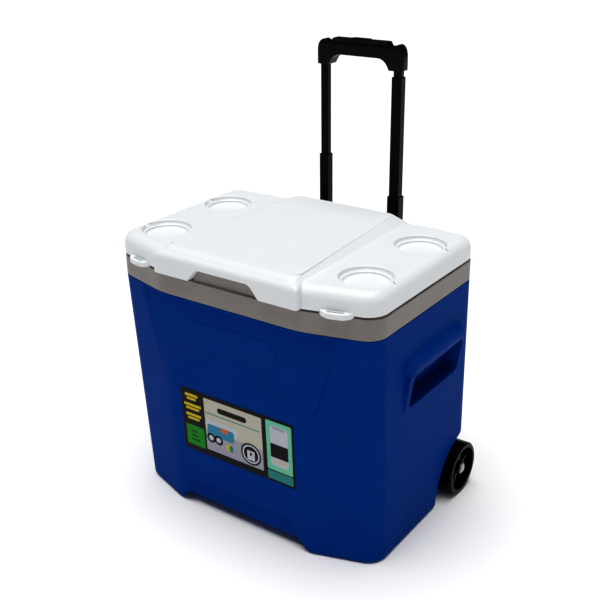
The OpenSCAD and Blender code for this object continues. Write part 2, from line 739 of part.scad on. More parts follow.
button_low = bar_top - 9;
module grip_bar(d) { translate([0, leg_y, 0]) front_prism(grip_outline, -d / 2, d / 2); }
module grip_shell() {
    color(black) place() difference() {
        grip_bar(grip_d);
        // Hollow for the yoke, the spring and the bridge.
        translate([-leg_x - 3.5, leg_y - 6, bar_low + 4]) cube([2 * leg_x + 7, 12, bar_top - bar_low]);
        translate([-bridge_half, leg_y - 8, bar_top - 3]) cube([2 * bridge_half, 16, 10]);
        for (s = [-1, 1]) translate([s * leg_x, leg_y, 0]) {
            linear_extrude_at(grip_z - 1, grip_z + 14) square([tube_w, tube_d], center = true);
            linear_extrude_at(grip_z + 13, bar_low + 5) circle(rod_r + 1, $fn = 32);
        }
        for (s = [-1, 1]) translate([s * 40, leg_y, bar_low + 5]) along_y(-grip_d, -4, 1.3, 24);
    }
}
// Raised top insert that frames the button.
module grip_bridge() {
    color("#1b1b1d") place() translate([0, leg_y, 0]) difference() {
        front_prism(rounded([[-bridge_half + fit, bar_top - 2.9], [bridge_half - fit, bar_top - 2.9],
            [bridge_half - 5, grip_z + grip_h], [-bridge_half + 5, grip_z + grip_h]], [0, 0, 2, 2]), -7.7, 7.7);
        linear_extrude_at(bar_top - 4, grip_z + grip_h + 1) round_rect(button_w + 0.6, 11.6, 5.7);
    }
}
module release_button() {
    color(black) place() translate([0, leg_y, 0]) {
        linear_extrude_at(button_low + 3, grip_z + grip_h + 1.5) round_rect(button_w, 11, 5.4);
        linear_extrude_at(button_low + 1, button_low + 3.1) round_rect(button_w + 3, 8, 3);
    }
}
// Cross bar under the button with a push rod down each leg.
module release_yoke() {
    yoke_low = bar_low + 4 + button_travel + 1;
    color("#3a3a3c") place() {
        translate([-leg_x - 3, leg_y - 3, yoke_low]) cube([2 * leg_x + 6, 6, button_low + 1 - yoke_low]);
        for (s = [-1, 1]) translate([s * leg_x, leg_y, 0])
            linear_extrude_at(pin_z + lock_pin_r + button_travel + 1.5, yoke_low + 1) circle(rod_r, $fn = 32);
    }
}
spring_low = bar_low + 4;
// Return spring of the button: a round wire wound as a helix, between the grip's floor and the yoke.
module button_spring() {
    turns = 3.5;
    rings = 56;
    sides = 8;
    wire = 0.45;
    coil_r = 2.2;
    rise = button_travel + 1 - 2 * wire - 0.1;
    pts = [for (i = [0:rings], k = [0:sides - 1])
        let (a = 360 * turns * i / rings, t = 360 * k / sides, r = coil_r + wire * cos(t))
        [r * cos(a), r * sin(a), wire + 0.05 + rise * i / rings + wire * sin(t)]];
    quads = [for (i = [0:rings - 1], k = [0:sides - 1])
        let (a = i * sides + k, b = i * sides + (k + 1) % sides) [a, b, b + sides, a + sides]];
    ends = [[for (k = [sides - 1:-1:0]) k], [for (k = [0:sides - 1]) rings * sides + k]];
    color(steel) place() translate([0, leg_y, spring_low]) polyhedron(pts, concat(quads, ends));
}
module grip_screws() {
    color(steel) place() for (s = [-1, 1]) translate([s * 40, leg_y, bar_low + 5]) {
        along_y(-grip_d / 2 + 0.6, -5.2, 1.25, 24);
    }
}

// Block that clamps both sleeves to the chest's back.
module bracket(z0, z1, y0, closed) {
    y1 = leg_y + bracket_d / 2;
    w = tube_w + 6 * leg_step;
    d = tube_d + 6 * leg_step;
    color(black) place() difference() {
        union() {
            for (s = [-1, 1]) translate([s * leg_x - block_half, y0, z0]) cube([2 * block_half, y1 - y0, z1 - z0]);
            translate([-bracket_half, y0, z0]) cube([2 * bracket_half, plate_t, z1 - z0]);
        }
        for (s = [-1, 1]) translate([s * leg_x, leg_y, 0])
            linear_extrude_at(closed ? sleeve_bottom : z0 - 1, z1 + 1) square([w, d], center = true);
        bracket_holes(bracket_screw_r + run_gap);
    }
}
top_bracket_y = back_y + back_lean * (1 - bracket_top_z[0] / shell_h) + 0.1;
low_bracket_y = back_y + back_lean * (1 - bracket_low_z[0] / shell_h) + 0.1;
module handle_top_bracket() { bracket(bracket_top_z[0], bracket_top_z[1], top_bracket_y, false); }
module handle_bottom_bracket() { bracket(bracket_low_z[0], bracket_low_z[1], low_bracket_y, true); }
module bracket_screws() {
    color(steel) place() for (x = bracket_screw_x, i = [0, 1])
        translate([x, [top_bracket_y, low_bracket_y][i] + plate_t, bracket_screw_z[i]])
            screw(bracket_screw_r, plate_t + shell_wall - 0.5);
}

outer_shell();
foam_core();
food_liner();
rim_collar();
front_label();
lid_shell();
lid_liner();
hinge_body_leaf_left();
hinge_body_leaf_right();
hinge_lid_leaf_left();
hinge_lid_leaf_right();
hinge_pins();
hinge_body_screws();
hinge_lid_screws();
axle();
wheel_left();
wheel_right();
axle_washers();
axle_caps();
handle_top_bracket();
handle_bottom_bracket();
bracket_screws();
sleeve_left();
sleeve_right();
outer_tube_left();
outer_tube_right();
mid_tube_left();
mid_tube_right();
inner_tube_left();
inner_tube_right();
tube_plugs();
grip_shell();
grip_bridge();
grip_screws();
release_button();
release_yoke();
button_spring();
lock_pin_left();
lock_pin_right();
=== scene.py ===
"""Looks of a rolling hard cooler: insulated chest, hinged lid, two wheels and a telescoping pull handle."""

import logging
import math
from collections.abc import Callable
from dataclasses import dataclass, replace
from enum import Enum

import bmesh
import bpy
from mathutils import Matrix, Vector


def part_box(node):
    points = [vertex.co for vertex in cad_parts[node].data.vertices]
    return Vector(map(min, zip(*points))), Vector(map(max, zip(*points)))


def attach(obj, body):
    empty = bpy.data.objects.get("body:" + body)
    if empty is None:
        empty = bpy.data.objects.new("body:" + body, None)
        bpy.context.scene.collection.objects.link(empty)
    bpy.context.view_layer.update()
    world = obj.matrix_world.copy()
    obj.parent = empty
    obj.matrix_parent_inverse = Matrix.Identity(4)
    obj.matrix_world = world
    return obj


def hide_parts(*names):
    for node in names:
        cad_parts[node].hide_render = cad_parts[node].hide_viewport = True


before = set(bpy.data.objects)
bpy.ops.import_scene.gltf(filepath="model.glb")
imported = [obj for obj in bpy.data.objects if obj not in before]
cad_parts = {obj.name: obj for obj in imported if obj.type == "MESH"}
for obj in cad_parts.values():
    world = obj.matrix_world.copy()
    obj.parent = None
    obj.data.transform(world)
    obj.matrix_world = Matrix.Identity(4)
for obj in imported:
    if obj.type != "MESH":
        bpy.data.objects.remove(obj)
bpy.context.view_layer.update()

log = logging.getLogger("cooler")
logging.basicConfig(level=logging.INFO, format="%(name)s: %(message)s")

MM = 0.001
Point = tuple[float, float]
Box = tuple[Vector, Vector]


def cad_box(node: str) -> Box:
    """Finds where a CAD node lies, in millimetres.

    Args:
        node: Name of the CAD node.

    Returns:
        Its lowest and its highest corner.
    """
    low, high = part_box(node)
    return low / MM, high / MM


SHELL = cad_box("outer_shell")
COLLAR = cad_box("rim_collar")
LID = cad_box("lid_shell")
MIDDLE_Y = (COLLAR[0].y + COLLAR[1].y) / 2  # the chest's middle; every piece is drawn round it


class Plane(Enum):
    """The plane that an outline is drawn in."""

    FRONT = "xz"
    SIDE = "yz"
    TOP = "xy"


class Cut(Enum):
    """How one mesh works on another."""

    AWAY = "DIFFERENCE"
    JOIN = "UNION"
    COMMON = "INTERSECT"


# ---------------------------------------------------------------- finishes


def linear(colour: str) -> tuple[float, float, float, float]:
    """Turns an sRGB hex colour into linear light.

    Args:
        colour: Six hex digits after a hash.

    Returns:
        Red, green, blue and alpha.
    """
    parts = [int(colour[i : i + 2], 16) / 255 for i in (1, 3, 5)]
    red, green, blue = (c / 12.92 if c <= 0.04045 else ((c + 0.055) / 1.055) ** 2.4 for c in parts)
    return red, green, blue, 1.0


def add_node(
    tree: bpy.types.NodeTree,
    kind: str,
    sockets: dict[str | int, object] | None = None,
    **settings: object,
) -> bpy.types.Node:
    """Adds a node with its settings, values and links.

    Args:
        tree: The material's node tree.
        kind: Type name of the node.
        sockets: Input name or number, with a value or the output socket to link.
        settings: Properties of the node.

    Returns:
        The new node.
    """
    node = tree.nodes.new(kind)
    for name, value in settings.items():
        setattr(node, name, value)
    for name, value in (sockets or {}).items():
        if isinstance(value, bpy.types.NodeSocket):
            tree.links.new(value, node.inputs[name])
        else:
            node.inputs[name].default_value = value
    return node


def blank_material(name: str) -> tuple[bpy.types.Material, bpy.types.NodeTree]:
    """Starts a material without any node.

    Args:
        name: Name of the material.

    Returns:
        The material and its node tree.
    """
    material = bpy.data.materials.new(name)
    material.use_nodes = True
    material.node_tree.nodes.clear()
    return material, material.node_tree


@dataclass(frozen=True)
class MouldedPlastic:
    """A moulded thermoplastic: fine spark-eroded grain, faint flow mottling, paler rubbed edges."""

    name: str
    colour: str
    deep: str
    rubbed: str
    roughness: float
    grain_mm: float
    grain_depth_mm: float
    mottle_mm: float = 60.0
    wear: float = 0.25
    gloss: float = 0.5
    sheen_swing: float = 0.08

    def material(self) -> bpy.types.Material:
        """Builds the material once and gives it again after that."""
        if self.name in bpy.data.materials:
            return bpy.data.materials[self.name]
        material, tree = blank_material(self.name)
        place = add_node(tree, "ShaderNodeTexCoord").outputs["Object"]
        # Slow mottling of the pigment as the melt filled the mould.
        mottle = add_node(
            tree,
            "ShaderNodeTexNoise",
            {"Vector": place, "Scale": 1000 / self.mottle_mm, "Detail": 3.0, "Roughness": 0.55},
        ).outputs["Fac"]
        tone = add_node(
            tree,
            "ShaderNodeMix",
            {"Factor": mottle, 6: linear(self.deep), 7: linear(self.colour)},
            data_type="RGBA",
        )
        # Edges that hands and floors have rubbed, broken up by a finer noise.
        edge = add_node(tree, "ShaderNodeNewGeometry").outputs["Pointiness"]
        edge = add_node(
            tree,
            "ShaderNodeMapRange",
            {"Value": edge, "From Min": 0.53, "From Max": 0.64, "To Min": 0.0, "To Max": self.wear},
        ).outputs["Result"]
        broken = add_node(
            tree,
            "ShaderNodeTexNoise",
            {"Vector": place, "Scale": 1000 / 9.0, "Detail": 4.0, "Roughness": 0.7},
        ).outputs["Fac"]
        rub = add_node(tree, "ShaderNodeMath", {0: edge, 1: broken}, operation="MULTIPLY").outputs["Value"]
        worn = add_node(
            tree,
            "ShaderNodeMix",
            {"Factor": rub, 6: tone.outputs[2], 7: linear(self.rubbed)},
            data_type="RGBA",
        )
        # Moulded grain, drawn as coarse as it has to be to show.
        grain = add_node(
            tree,
            "ShaderNodeTexNoise",
            {"Vector": place, "Scale": 1000 / self.grain_mm, "Detail": 2.0, "Roughness": 0.6},
        ).outputs["Fac"]
        ripple = add_node(
            tree,
            "ShaderNodeTexNoise",
            {"Vector": place, "Scale": 1000 / 45.0, "Detail": 1.0},
        ).outputs["Fac"]
        waves = add_node(
            tree,
            "ShaderNodeBump",
            {"Height": ripple, "Distance": 0.25 * MM, "Strength": 0.5},
        ).outputs["Normal"]
        bump = add_node(
            tree,
            "ShaderNodeBump",
            {"Height": grain, "Distance": self.grain_depth_mm * MM, "Strength": 0.7, "Normal": waves},
        ).outputs["Normal"]
        rough = add_node(
            tree,
            "ShaderNodeMapRange",
            {
                "Value": broken,
                "From Min": 0.3,
                "From Max": 0.7,
                "To Min": self.roughness - self.sheen_swing,
                "To Max": self.roughness + self.sheen_swing,
            },
        ).outputs["Result"]
        shader = add_node(
            tree,
            "ShaderNodeBsdfPrincipled",
            {
                "Base Color": worn.outputs[2],
                "Roughness": rough,
                "Normal": bump,
                "IOR": 1.5,
                "Specular IOR Level": self.gloss,
            },
        )
        add_node(tree, "ShaderNodeOutputMaterial", {"Surface": shader.outputs["BSDF"]})
        return material


@dataclass(frozen=True)
class TurnedMetal:
    """Bare or plated metal with fine drawn lines along one axis."""

    name: str
    colour: str
    roughness: float
    line_mm: float = 0.5
    stretch: tuple[float, float, float] = (0.05, 1.0, 1.0)

    def material(self) -> bpy.types.Material:
        """Builds the material once and gives it again after that."""
        if self.name in bpy.data.materials:
            return bpy.data.materials[self.name]
        material, tree = blank_material(self.name)
        place = add_node(tree, "ShaderNodeTexCoord").outputs["Object"]
        drawn = add_node(
            tree, "ShaderNodeMapping", {"Vector": place, "Scale": self.stretch}
        ).outputs["Vector"]
        lines = add_node(
            tree, "ShaderNodeTexNoise", {"Vector": drawn, "Scale": 1000 / self.line_mm, "Detail": 3.0}
        ).outputs["Fac"]
        rough = add_node(
            tree,
            "ShaderNodeMapRange",
            {"Value": lines, "To Min": self.roughness - 0.08, "To Max": self.roughness + 0.12},
        ).outputs["Result"]
        bump = add_node(
            tree, "ShaderNodeBump", {"Height": lines, "Distance": 0.02 * MM, "Strength": 0.6}
        ).outputs["Normal"]
        shader = add_node(
            tree,
            "ShaderNodeBsdfPrincipled",
            {"Base Color": linear(self.colour), "Metallic": 1.0, "Roughness": rough, "Normal": bump},
        )
        add_node(tree, "ShaderNodeOutputMaterial", {"Surface": shader.outputs["BSDF"]})
        return material


@dataclass(frozen=True)
class PrintedInk:
    """A flat printed colour under a clear film on the label."""

    name: str
    colour: str
    roughness: float = 0.32

    def material(self) -> bpy.types.Material:
        """Builds the material once and gives it again after that."""
        if self.name in bpy.data.materials:
            return bpy.data.materials[self.name]
        material, tree = blank_material(self.name)
        place = add_node(tree, "ShaderNodeTexCoord").outputs["Object"]
        # Halftone unevenness of the print, about 2 mm across so that it shows.
        dots = add_node(
            tree, "ShaderNodeTexNoise", {"Vector": place, "Scale": 1000 / 2.0, "Detail": 2.0}
        ).outputs["Fac"]
        shift = add_node(
            tree, "ShaderNodeMapRange", {"Value": dots, "To Min": 0.86, "To Max": 1.12}
        ).outputs["Result"]
        tint = add_node(
            tree,
            "ShaderNodeHueSaturation",
            {"Color": linear(self.colour), "Value": shift},
        ).outputs["Color"]
        wrinkle = add_node(
            tree, "ShaderNodeTexNoise", {"Vector": place, "Scale": 1000 / 30.0, "Detail": 2.0}
        ).outputs["Fac"]
        bump = add_node(
            tree, "ShaderNodeBump", {"Height": wrinkle, "Distance": 0.3 * MM, "Strength": 0.4}
        ).outputs["Normal"]
        shader = add_node(
            tree,
            "ShaderNodeBsdfPrincipled",
            {
                "Base Color": tint,
                "Roughness": self.roughness,
                "Normal": bump,
                "Specular IOR Level": 0.06,
                "Coat Weight": 0.02,
            },
        )
        add_node(tree, "ShaderNodeOutputMaterial", {"Surface": shader.outputs["BSDF"]})
        return material


Finish = MouldedPlastic | TurnedMetal | PrintedInk

# Moulded high-density polyethylene: waxy royal blue with a soft, broad sheen.
BLUE_SHELL = MouldedPlastic(
    "Blue_polyethylene_shell", "#003788", "#00307c", "#2a62b0", 0.45, 1.6, 0.05, gloss=0.01
)
# Injected polypropylene: cold near-white, satin, edges keep their colour.
WHITE_LID = MouldedPlastic(
    "White_polypropylene_lid", "#e6e9ec", "#e0e4e7", "#f6f7f8", 0.42, 1.4, 0.035, wear=0.1
)
# The same plastic inside the chest, polished for food.
WHITE_LINER = MouldedPlastic(
    "White_liner", "#e6e8ea", "#e0e3e5", "#f6f7f8", 0.34, 2.0, 0.01, wear=0.0, sheen_swing=0.02
)
# Collar of grey-brown polypropylene, finely grained.
TAUPE_COLLAR = MouldedPlastic(
    "Taupe_polypropylene_collar", "#827b75", "#766f6a", "#a39c96", 0.45, 1.3, 0.045, wear=0.2
)
# Glass-filled nylon of the grip, brackets and hinges: black, grainy, greyed at the edges.
BLACK_NYLON = MouldedPlastic(
    "Black_grained_nylon", "#070707", "#040404", "#2c2c2e", 0.36, 0.9, 0.05, wear=0.3, gloss=0.08
)
# Hard rolling tread and spokes: smoother black plastic with scuffs.
BLACK_WHEEL = MouldedPlastic(
    "Black_wheel_plastic", "#070707", "#040404", "#242426", 0.36, 1.1, 0.05, wear=0.15, gloss=0.05
)
# Soft dark grey plastic of the moving pieces inside the handle.
GREY_NYLON = MouldedPlastic("Grey_nylon", "#3a3a3c", "#313133", "#5a5a5c", 0.5, 0.9, 0.04)
# Painted tubes: satin black paint on drawn aluminium.
BLACK_PAINT = MouldedPlastic(
    "Satin_black_paint_on_tube", "#060606", "#030303", "#303034", 0.28, 0.7, 0.02, wear=0.3, gloss=0.05
)
# Foam that fills the walls, cut face like pale sponge.
FOAM = MouldedPlastic("Insulating_foam", "#e6d9ae", "#d8c994", "#efe6c6", 0.9, 1.2, 0.3, wear=0.0)
# Zinc plated steel of axle, screws and pins.
ZINC = TurnedMetal("Zinc_plated_steel", "#a4a7aa", 0.32)

LABEL_BLACK = PrintedInk("Label_black_ink", "#0d0d0e")
LABEL_STONE = PrintedInk("Label_stone_ink", "#b9b5a6")
LABEL_GREY = PrintedInk("Label_grey_ink", "#9a9aa6")
LABEL_MINT = PrintedInk("Label_mint_ink", "#6fbf9f")
LABEL_TEAL = PrintedInk("Label_teal_ink", "#2b7f7c")
LABEL_YELLOW = PrintedInk("Label_yellow_ink", "#c9b122")
LABEL_GREEN = PrintedInk("Label_green_ink", "#17841f")
LABEL_SILVER = PrintedInk("Label_silver_ink", "#b9bcc4")
LABEL_SKY = PrintedInk("Label_sky_ink", "#2f7f9f")
LABEL_ORANGE = PrintedInk("Label_orange_ink", "#c8641e")


# ---------------------------------------------------------------- mesh helpers


def in_space(point: Point, plane: Plane, depth: float) -> Vector:
    """Puts a drawn point into space.

    Args:
        point: The two drawn coordinates.
        plane: The plane of the drawing.
        depth: Coordinate along the plane's normal.

    Returns:
        The point in space.
    """
    u, v = point
    if plane is Plane.FRONT:
        return Vector((u, depth, v))
    if plane is Plane.SIDE:
        return Vector((depth, u, v))
    return Vector((u, v, depth))


def outline(
    bm: bmesh.types.BMesh,
    points: list[Point],
    plane: Plane,
    depth: float,
    radii: list[float] | float = 0.0,
    segments: int = 6,
) -> bmesh.types.BMFace:
    """Draws a face whose corners are rounded.

    Args:
        bm: Mesh that gets the face.
        points: Corners in order.
        plane: The plane of the drawing.
        depth: Where the plane lies along its normal.
        radii: How far the rounding of each corner starts from it.
        segments: Segments of a rounded corner.

    Returns:
        The face.
    """
    verts = [bm.verts.new(in_space(p, plane, depth)) for p in points]
    face = bm.faces.new(verts)
    sizes = radii if isinstance(radii, list) else [radii] * len(points)
    for vert, size in zip(verts, sizes):
        if size > 0:
            made = bmesh.ops.bevel(
                bm,
                geom=[vert],
                offset=size,
                offset_type="OFFSET",
                segments=segments,
                profile=0.5,
                affect="VERTICES",
                clamp_overlap=False,
                material=-1,
            )
            face = made["verts"][0].link_faces[0]
    return face


def prism(
    points: list[Point],
    plane: Plane,
    start: float,
    end: float,
    radii: list[float] | float = 0.0,
    segments: int = 6,
    far: list[Point] | None = None,
) -> bmesh.types.BMesh:
    """Draws a rounded outline out into a solid.

    Args:
        points: Corners in order.
        plane: The plane of the drawing.
        start: Where the first end lies along the plane's normal.
        end: Where the other end lies.
        radii: Rounding of each corner.
        segments: Segments of a rounded corner.
        far: Corners of the other end, where it differs.

    Returns:
        The solid.
    """
    bm = bmesh.new()
    first = outline(bm, points, plane, start, radii, segments)
    loops = [list(first.edges)]
    second = outline(bm, far or points, plane, end, radii, segments)
    loops.append(list(second.edges))
    bmesh.ops.bridge_loops(bm, edges=loops[0] + loops[1])
    bmesh.ops.recalc_face_normals(bm, faces=bm.faces)
    return bm


def loft(
    levels: list[tuple[float, list[Point]]],
    radii: list[float] | list[list[float]],
    segments: int = 6,
) -> bmesh.types.BMesh:
    """Stacks rounded outlines into one smooth solid.

    Args:
        levels: Height and corners of each outline, from the lowest up.
        radii: Rounding of each corner, the same for all outlines or one list for each.
        segments: Segments of a rounded corner.

    Returns:
        The solid.
    """
    bm = bmesh.new()
    rings = []
    for number, (height, points) in enumerate(levels):
        sizes = radii[number] if isinstance(radii[0], list) else radii
        face = outline(bm, points, Plane.TOP, height, sizes, segments)
        rings.append(list(face.edges))
        if 0 < number < len(levels) - 1:
            bmesh.ops.delete(bm, geom=[face], context="FACES_ONLY")
    for lower, upper in zip(rings, rings[1:]):
        bmesh.ops.bridge_loops(bm, edges=lower + upper)
    bmesh.ops.recalc_face_normals(bm, faces=bm.faces)
    return bm


def quarter(steps: int) -> list[float]:
    """Angles of a quarter turn, in radians, with both ends."""
    return [math.pi / 2 * step / steps for step in range(steps + 1)]


def lathe(profile: list[Point], axis: str, centre: Vector, steps: int = 64) -> bmesh.types.BMesh:
    """Spins a closed profile round an axis.

    Args:
        profile: Radius and distance along the axis of each corner.
        axis: The axis, "X" or "Z".
        centre: Where radius and distance are zero.
        steps: Steps of the full turn.

    Returns:
        The solid.
    """
    bm = bmesh.new()
    corners = [(along, 0.0, out) if axis == "X" else (out, 0.0, along) for out, along in profile]
    verts = [bm.verts.new(corner) for corner in corners]
    edges = [bm.edges.new((a, b)) for a, b in zip(verts, verts[1:] + verts[:1])]
    turn = Vector((1, 0, 0)) if axis == "X" else Vector((0, 0, 1))
    bmesh.ops.spin(
        bm, geom=verts + edges, cent=(0, 0, 0), axis=turn, angle=math.tau, steps=steps, use_merge=True
    )
    bmesh.ops.remove_doubles(bm, verts=bm.verts, dist=1e-4)
    loose = [e for e in bm.edges if not e.link_faces]
    bmesh.ops.delete(bm, geom=loose, context="EDGES")
    bmesh.ops.recalc_face_normals(bm, faces=bm.faces)
    bmesh.ops.translate(bm, vec=centre, verts=bm.verts)
    return bm


def capsule(start: Vector, end: Vector, radius: float, segments: int = 32) -> bmesh.types.BMesh:
    """Makes a round bar along Y with ball ends.

    Args:
        start: Centre of the first ball.
        end: Centre of the other ball.
        radius: Radius of the bar.
        segments: Segments round the bar.

    Returns:
        The solid.
    """
    bm = bmesh.new()
    turn = Matrix.Rotation(math.pi / 2, 4, "X")
    bmesh.ops.create_uvsphere(bm, u_segments=segments, v_segments=segments // 2, radius=radius, matrix=turn)
    half = [v for v in bm.verts if v.co.y > 1e-3]
    rest = [v for v in bm.verts if v.co.y <= 1e-3]
    bmesh.ops.translate(bm, vec=end, verts=half)
    bmesh.ops.translate(bm, vec=start, verts=rest)
    bmesh.ops.recalc_face_normals(bm, faces=bm.faces)
    return bm


def to_object(bm: bmesh.types.BMesh, name: str = "draft") -> bpy.types.Object:
    """Puts a mesh into the scene and frees it.

    Args:
        bm: The mesh.
        name: Name of the new object.

    Returns:
        The object.
    """
    mesh = bpy.data.meshes.new(name)
    bm.to_mesh(mesh)
    bm.free()
    obj = bpy.data.objects.new(name, mesh)
    bpy.context.scene.collection.objects.link(obj)
    return obj


def carve(base: bmesh.types.BMesh, tool: bmesh.types.BMesh, cut: Cut = Cut.AWAY) -> bmesh.types.BMesh:
    """Works one solid with another.

    Args:
        base: The solid that is worked; it is freed.
        tool: The solid that works it; it is freed.
        cut: What is done.

    Returns:
        The result.
    """
    work, other = to_object(base), to_object(tool)
    step = work.modifiers.new("cut", "BOOLEAN")
    step.object = other
    step.operation = cut.value
    step.solver = "EXACT"
    graph = bpy.context.evaluated_depsgraph_get()
    bm = bmesh.new()
    bm.from_object(work, graph)
    for used in (work, other):
        mesh = used.data
        bpy.data.objects.remove(used)
        bpy.data.meshes.remove(mesh)
    bmesh.ops.remove_doubles(bm, verts=bm.verts, dist=0.01)
    return bm


def soften(
    bm: bmesh.types.BMesh,
    width: float,
    segments: int = 3,
    angle: float = 28.0,
    where: Callable[[bmesh.types.BMEdge], bool] | None = None,
) -> bmesh.types.BMesh:
    """Rounds the sharp edges of a solid.

    Args:
        bm: The solid.
        width: Width of the rounding.
        segments: Segments across it.
        angle: Edges that turn by more degrees than this are rounded.
        where: Test of an edge, for rounding only some of them.

    Returns:
        The same solid.
    """
    bmesh.ops.dissolve_limit(
        bm, angle_limit=math.radians(1.0), verts=bm.verts, edges=bm.edges, use_dissolve_boundaries=False
    )
    sharp = [
        e
        for e in bm.edges
        if len(e.link_faces) == 2
        and e.calc_face_angle(0.0) > math.radians(angle)
        and (where is None or where(e))
    ]
    bmesh.ops.bevel(
        bm,
        geom=sharp,
        offset=width,
        offset_type="OFFSET",
        segments=segments,
        profile=0.5,
        affect="EDGES",
        clamp_overlap=False,
        material=-1,
    )
    return bm


def copy_of(*nodes: str) -> bmesh.types.BMesh:
    """Copies CAD nodes into one merged mesh in millimetres, round the chest's middle.

    Args:
        nodes: Names of the CAD nodes.

    Returns:
        The mesh.
    """
    bm = bmesh.new()
    for node in nodes:
        bm.from_mesh(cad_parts[node].data)
    bmesh.ops.transform(
        bm, matrix=Matrix.Translation((0, -MIDDLE_Y, 0)) @ Matrix.Scale(1 / MM, 4), verts=bm.verts
    )
    bmesh.ops.remove_doubles(bm, verts=bm.verts, dist=0.005)
    return bm


def add(bm: bmesh.types.BMesh, other: bmesh.types.BMesh) -> bmesh.types.BMesh:
    """Lays another mesh beside a mesh without joining them.

    Args:
        bm: The mesh that grows.
        other: The mesh that is added; it is freed.

    Returns:
        The mesh that grew.
    """
    mesh = bpy.data.meshes.new("part")
    other.to_mesh(mesh)
    other.free()
    bm.from_mesh(mesh)
    bpy.data.meshes.remove(mesh)
    return bm


def mirrored(bm: bmesh.types.BMesh) -> bmesh.types.BMesh:
    """Copies a solid to the other side of the chest.

    Args:
        bm: The solid; it is kept.

    Returns:
        The mirrored solid.
    """
    twin = bm.copy()
    bmesh.ops.scale(twin, vec=(-1, 1, 1), verts=twin.verts)
    bmesh.ops.reverse_faces(twin, faces=twin.faces)
    return twin


def carve_both(
    base: bmesh.types.BMesh, tool: bmesh.types.BMesh, cut: Cut = Cut.AWAY
) -> bmesh.types.BMesh:
    """Works a solid with another and with its mirror image.

    Args:
        base: The solid that is worked; it is freed.
        tool: The solid for the right side; it is freed.
        cut: What is done.

    Returns:
        The result.
    """
    base = carve(base, mirrored(tool), cut)
    return carve(base, tool, cut)


def rectangle(left: float, low: float, right: float, high: float) -> list[Point]:
    """Corners of a rectangle, the lower left one first."""
    return [(left, low), (right, low), (right, high), (left, high)]


@dataclass(frozen=True)
class Duty:
    """What a visible piece rides on, stands for and is made of."""

    body: str
    slot: str
    replaces: tuple[str, ...] = ()


def finish_piece(
    name: str,
    bm: bmesh.types.BMesh,
    finish: Finish | list[Finish],
    duty: Duty,
    angle: float = 32.0,
) -> bpy.types.Object:
    """Turns a drawn solid into a finished piece in the shared frame.

    Args:
        name: Name of the piece.
        bm: The solid, in millimetres round the chest's middle; it is freed.
        finish: Its material, or its materials in the order of the faces' numbers.
        duty: Body and CAD nodes; its slot is not used.
        angle: Edges that turn by more degrees than this stay sharp in the shading.

    Returns:
        The piece.
    """
    bmesh.ops.transform(
        bm, matrix=Matrix.Scale(MM, 4) @ Matrix.Translation((0, MIDDLE_Y, 0)), verts=bm.verts
    )
    bmesh.ops.recalc_face_normals(bm, faces=bm.faces)
    for face in bm.faces:
        face.smooth = True
    piece = to_object(bm, name)
    piece.data.set_sharp_from_angle(angle=math.radians(angle))
    for coat in finish if isinstance(finish, list) else [finish]:
        piece.data.materials.append(coat.material())
    shading = piece.modifiers.new("shading", "WEIGHTED_NORMAL")
    shading.keep_sharp = True
    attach(piece, duty.body)
    if duty.replaces:
        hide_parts(*duty.replaces)
    log.info("%s: %d faces on %s", name, len(piece.data.polygons), duty.body)
    return piece


# ---------------------------------------------------------------- the chest


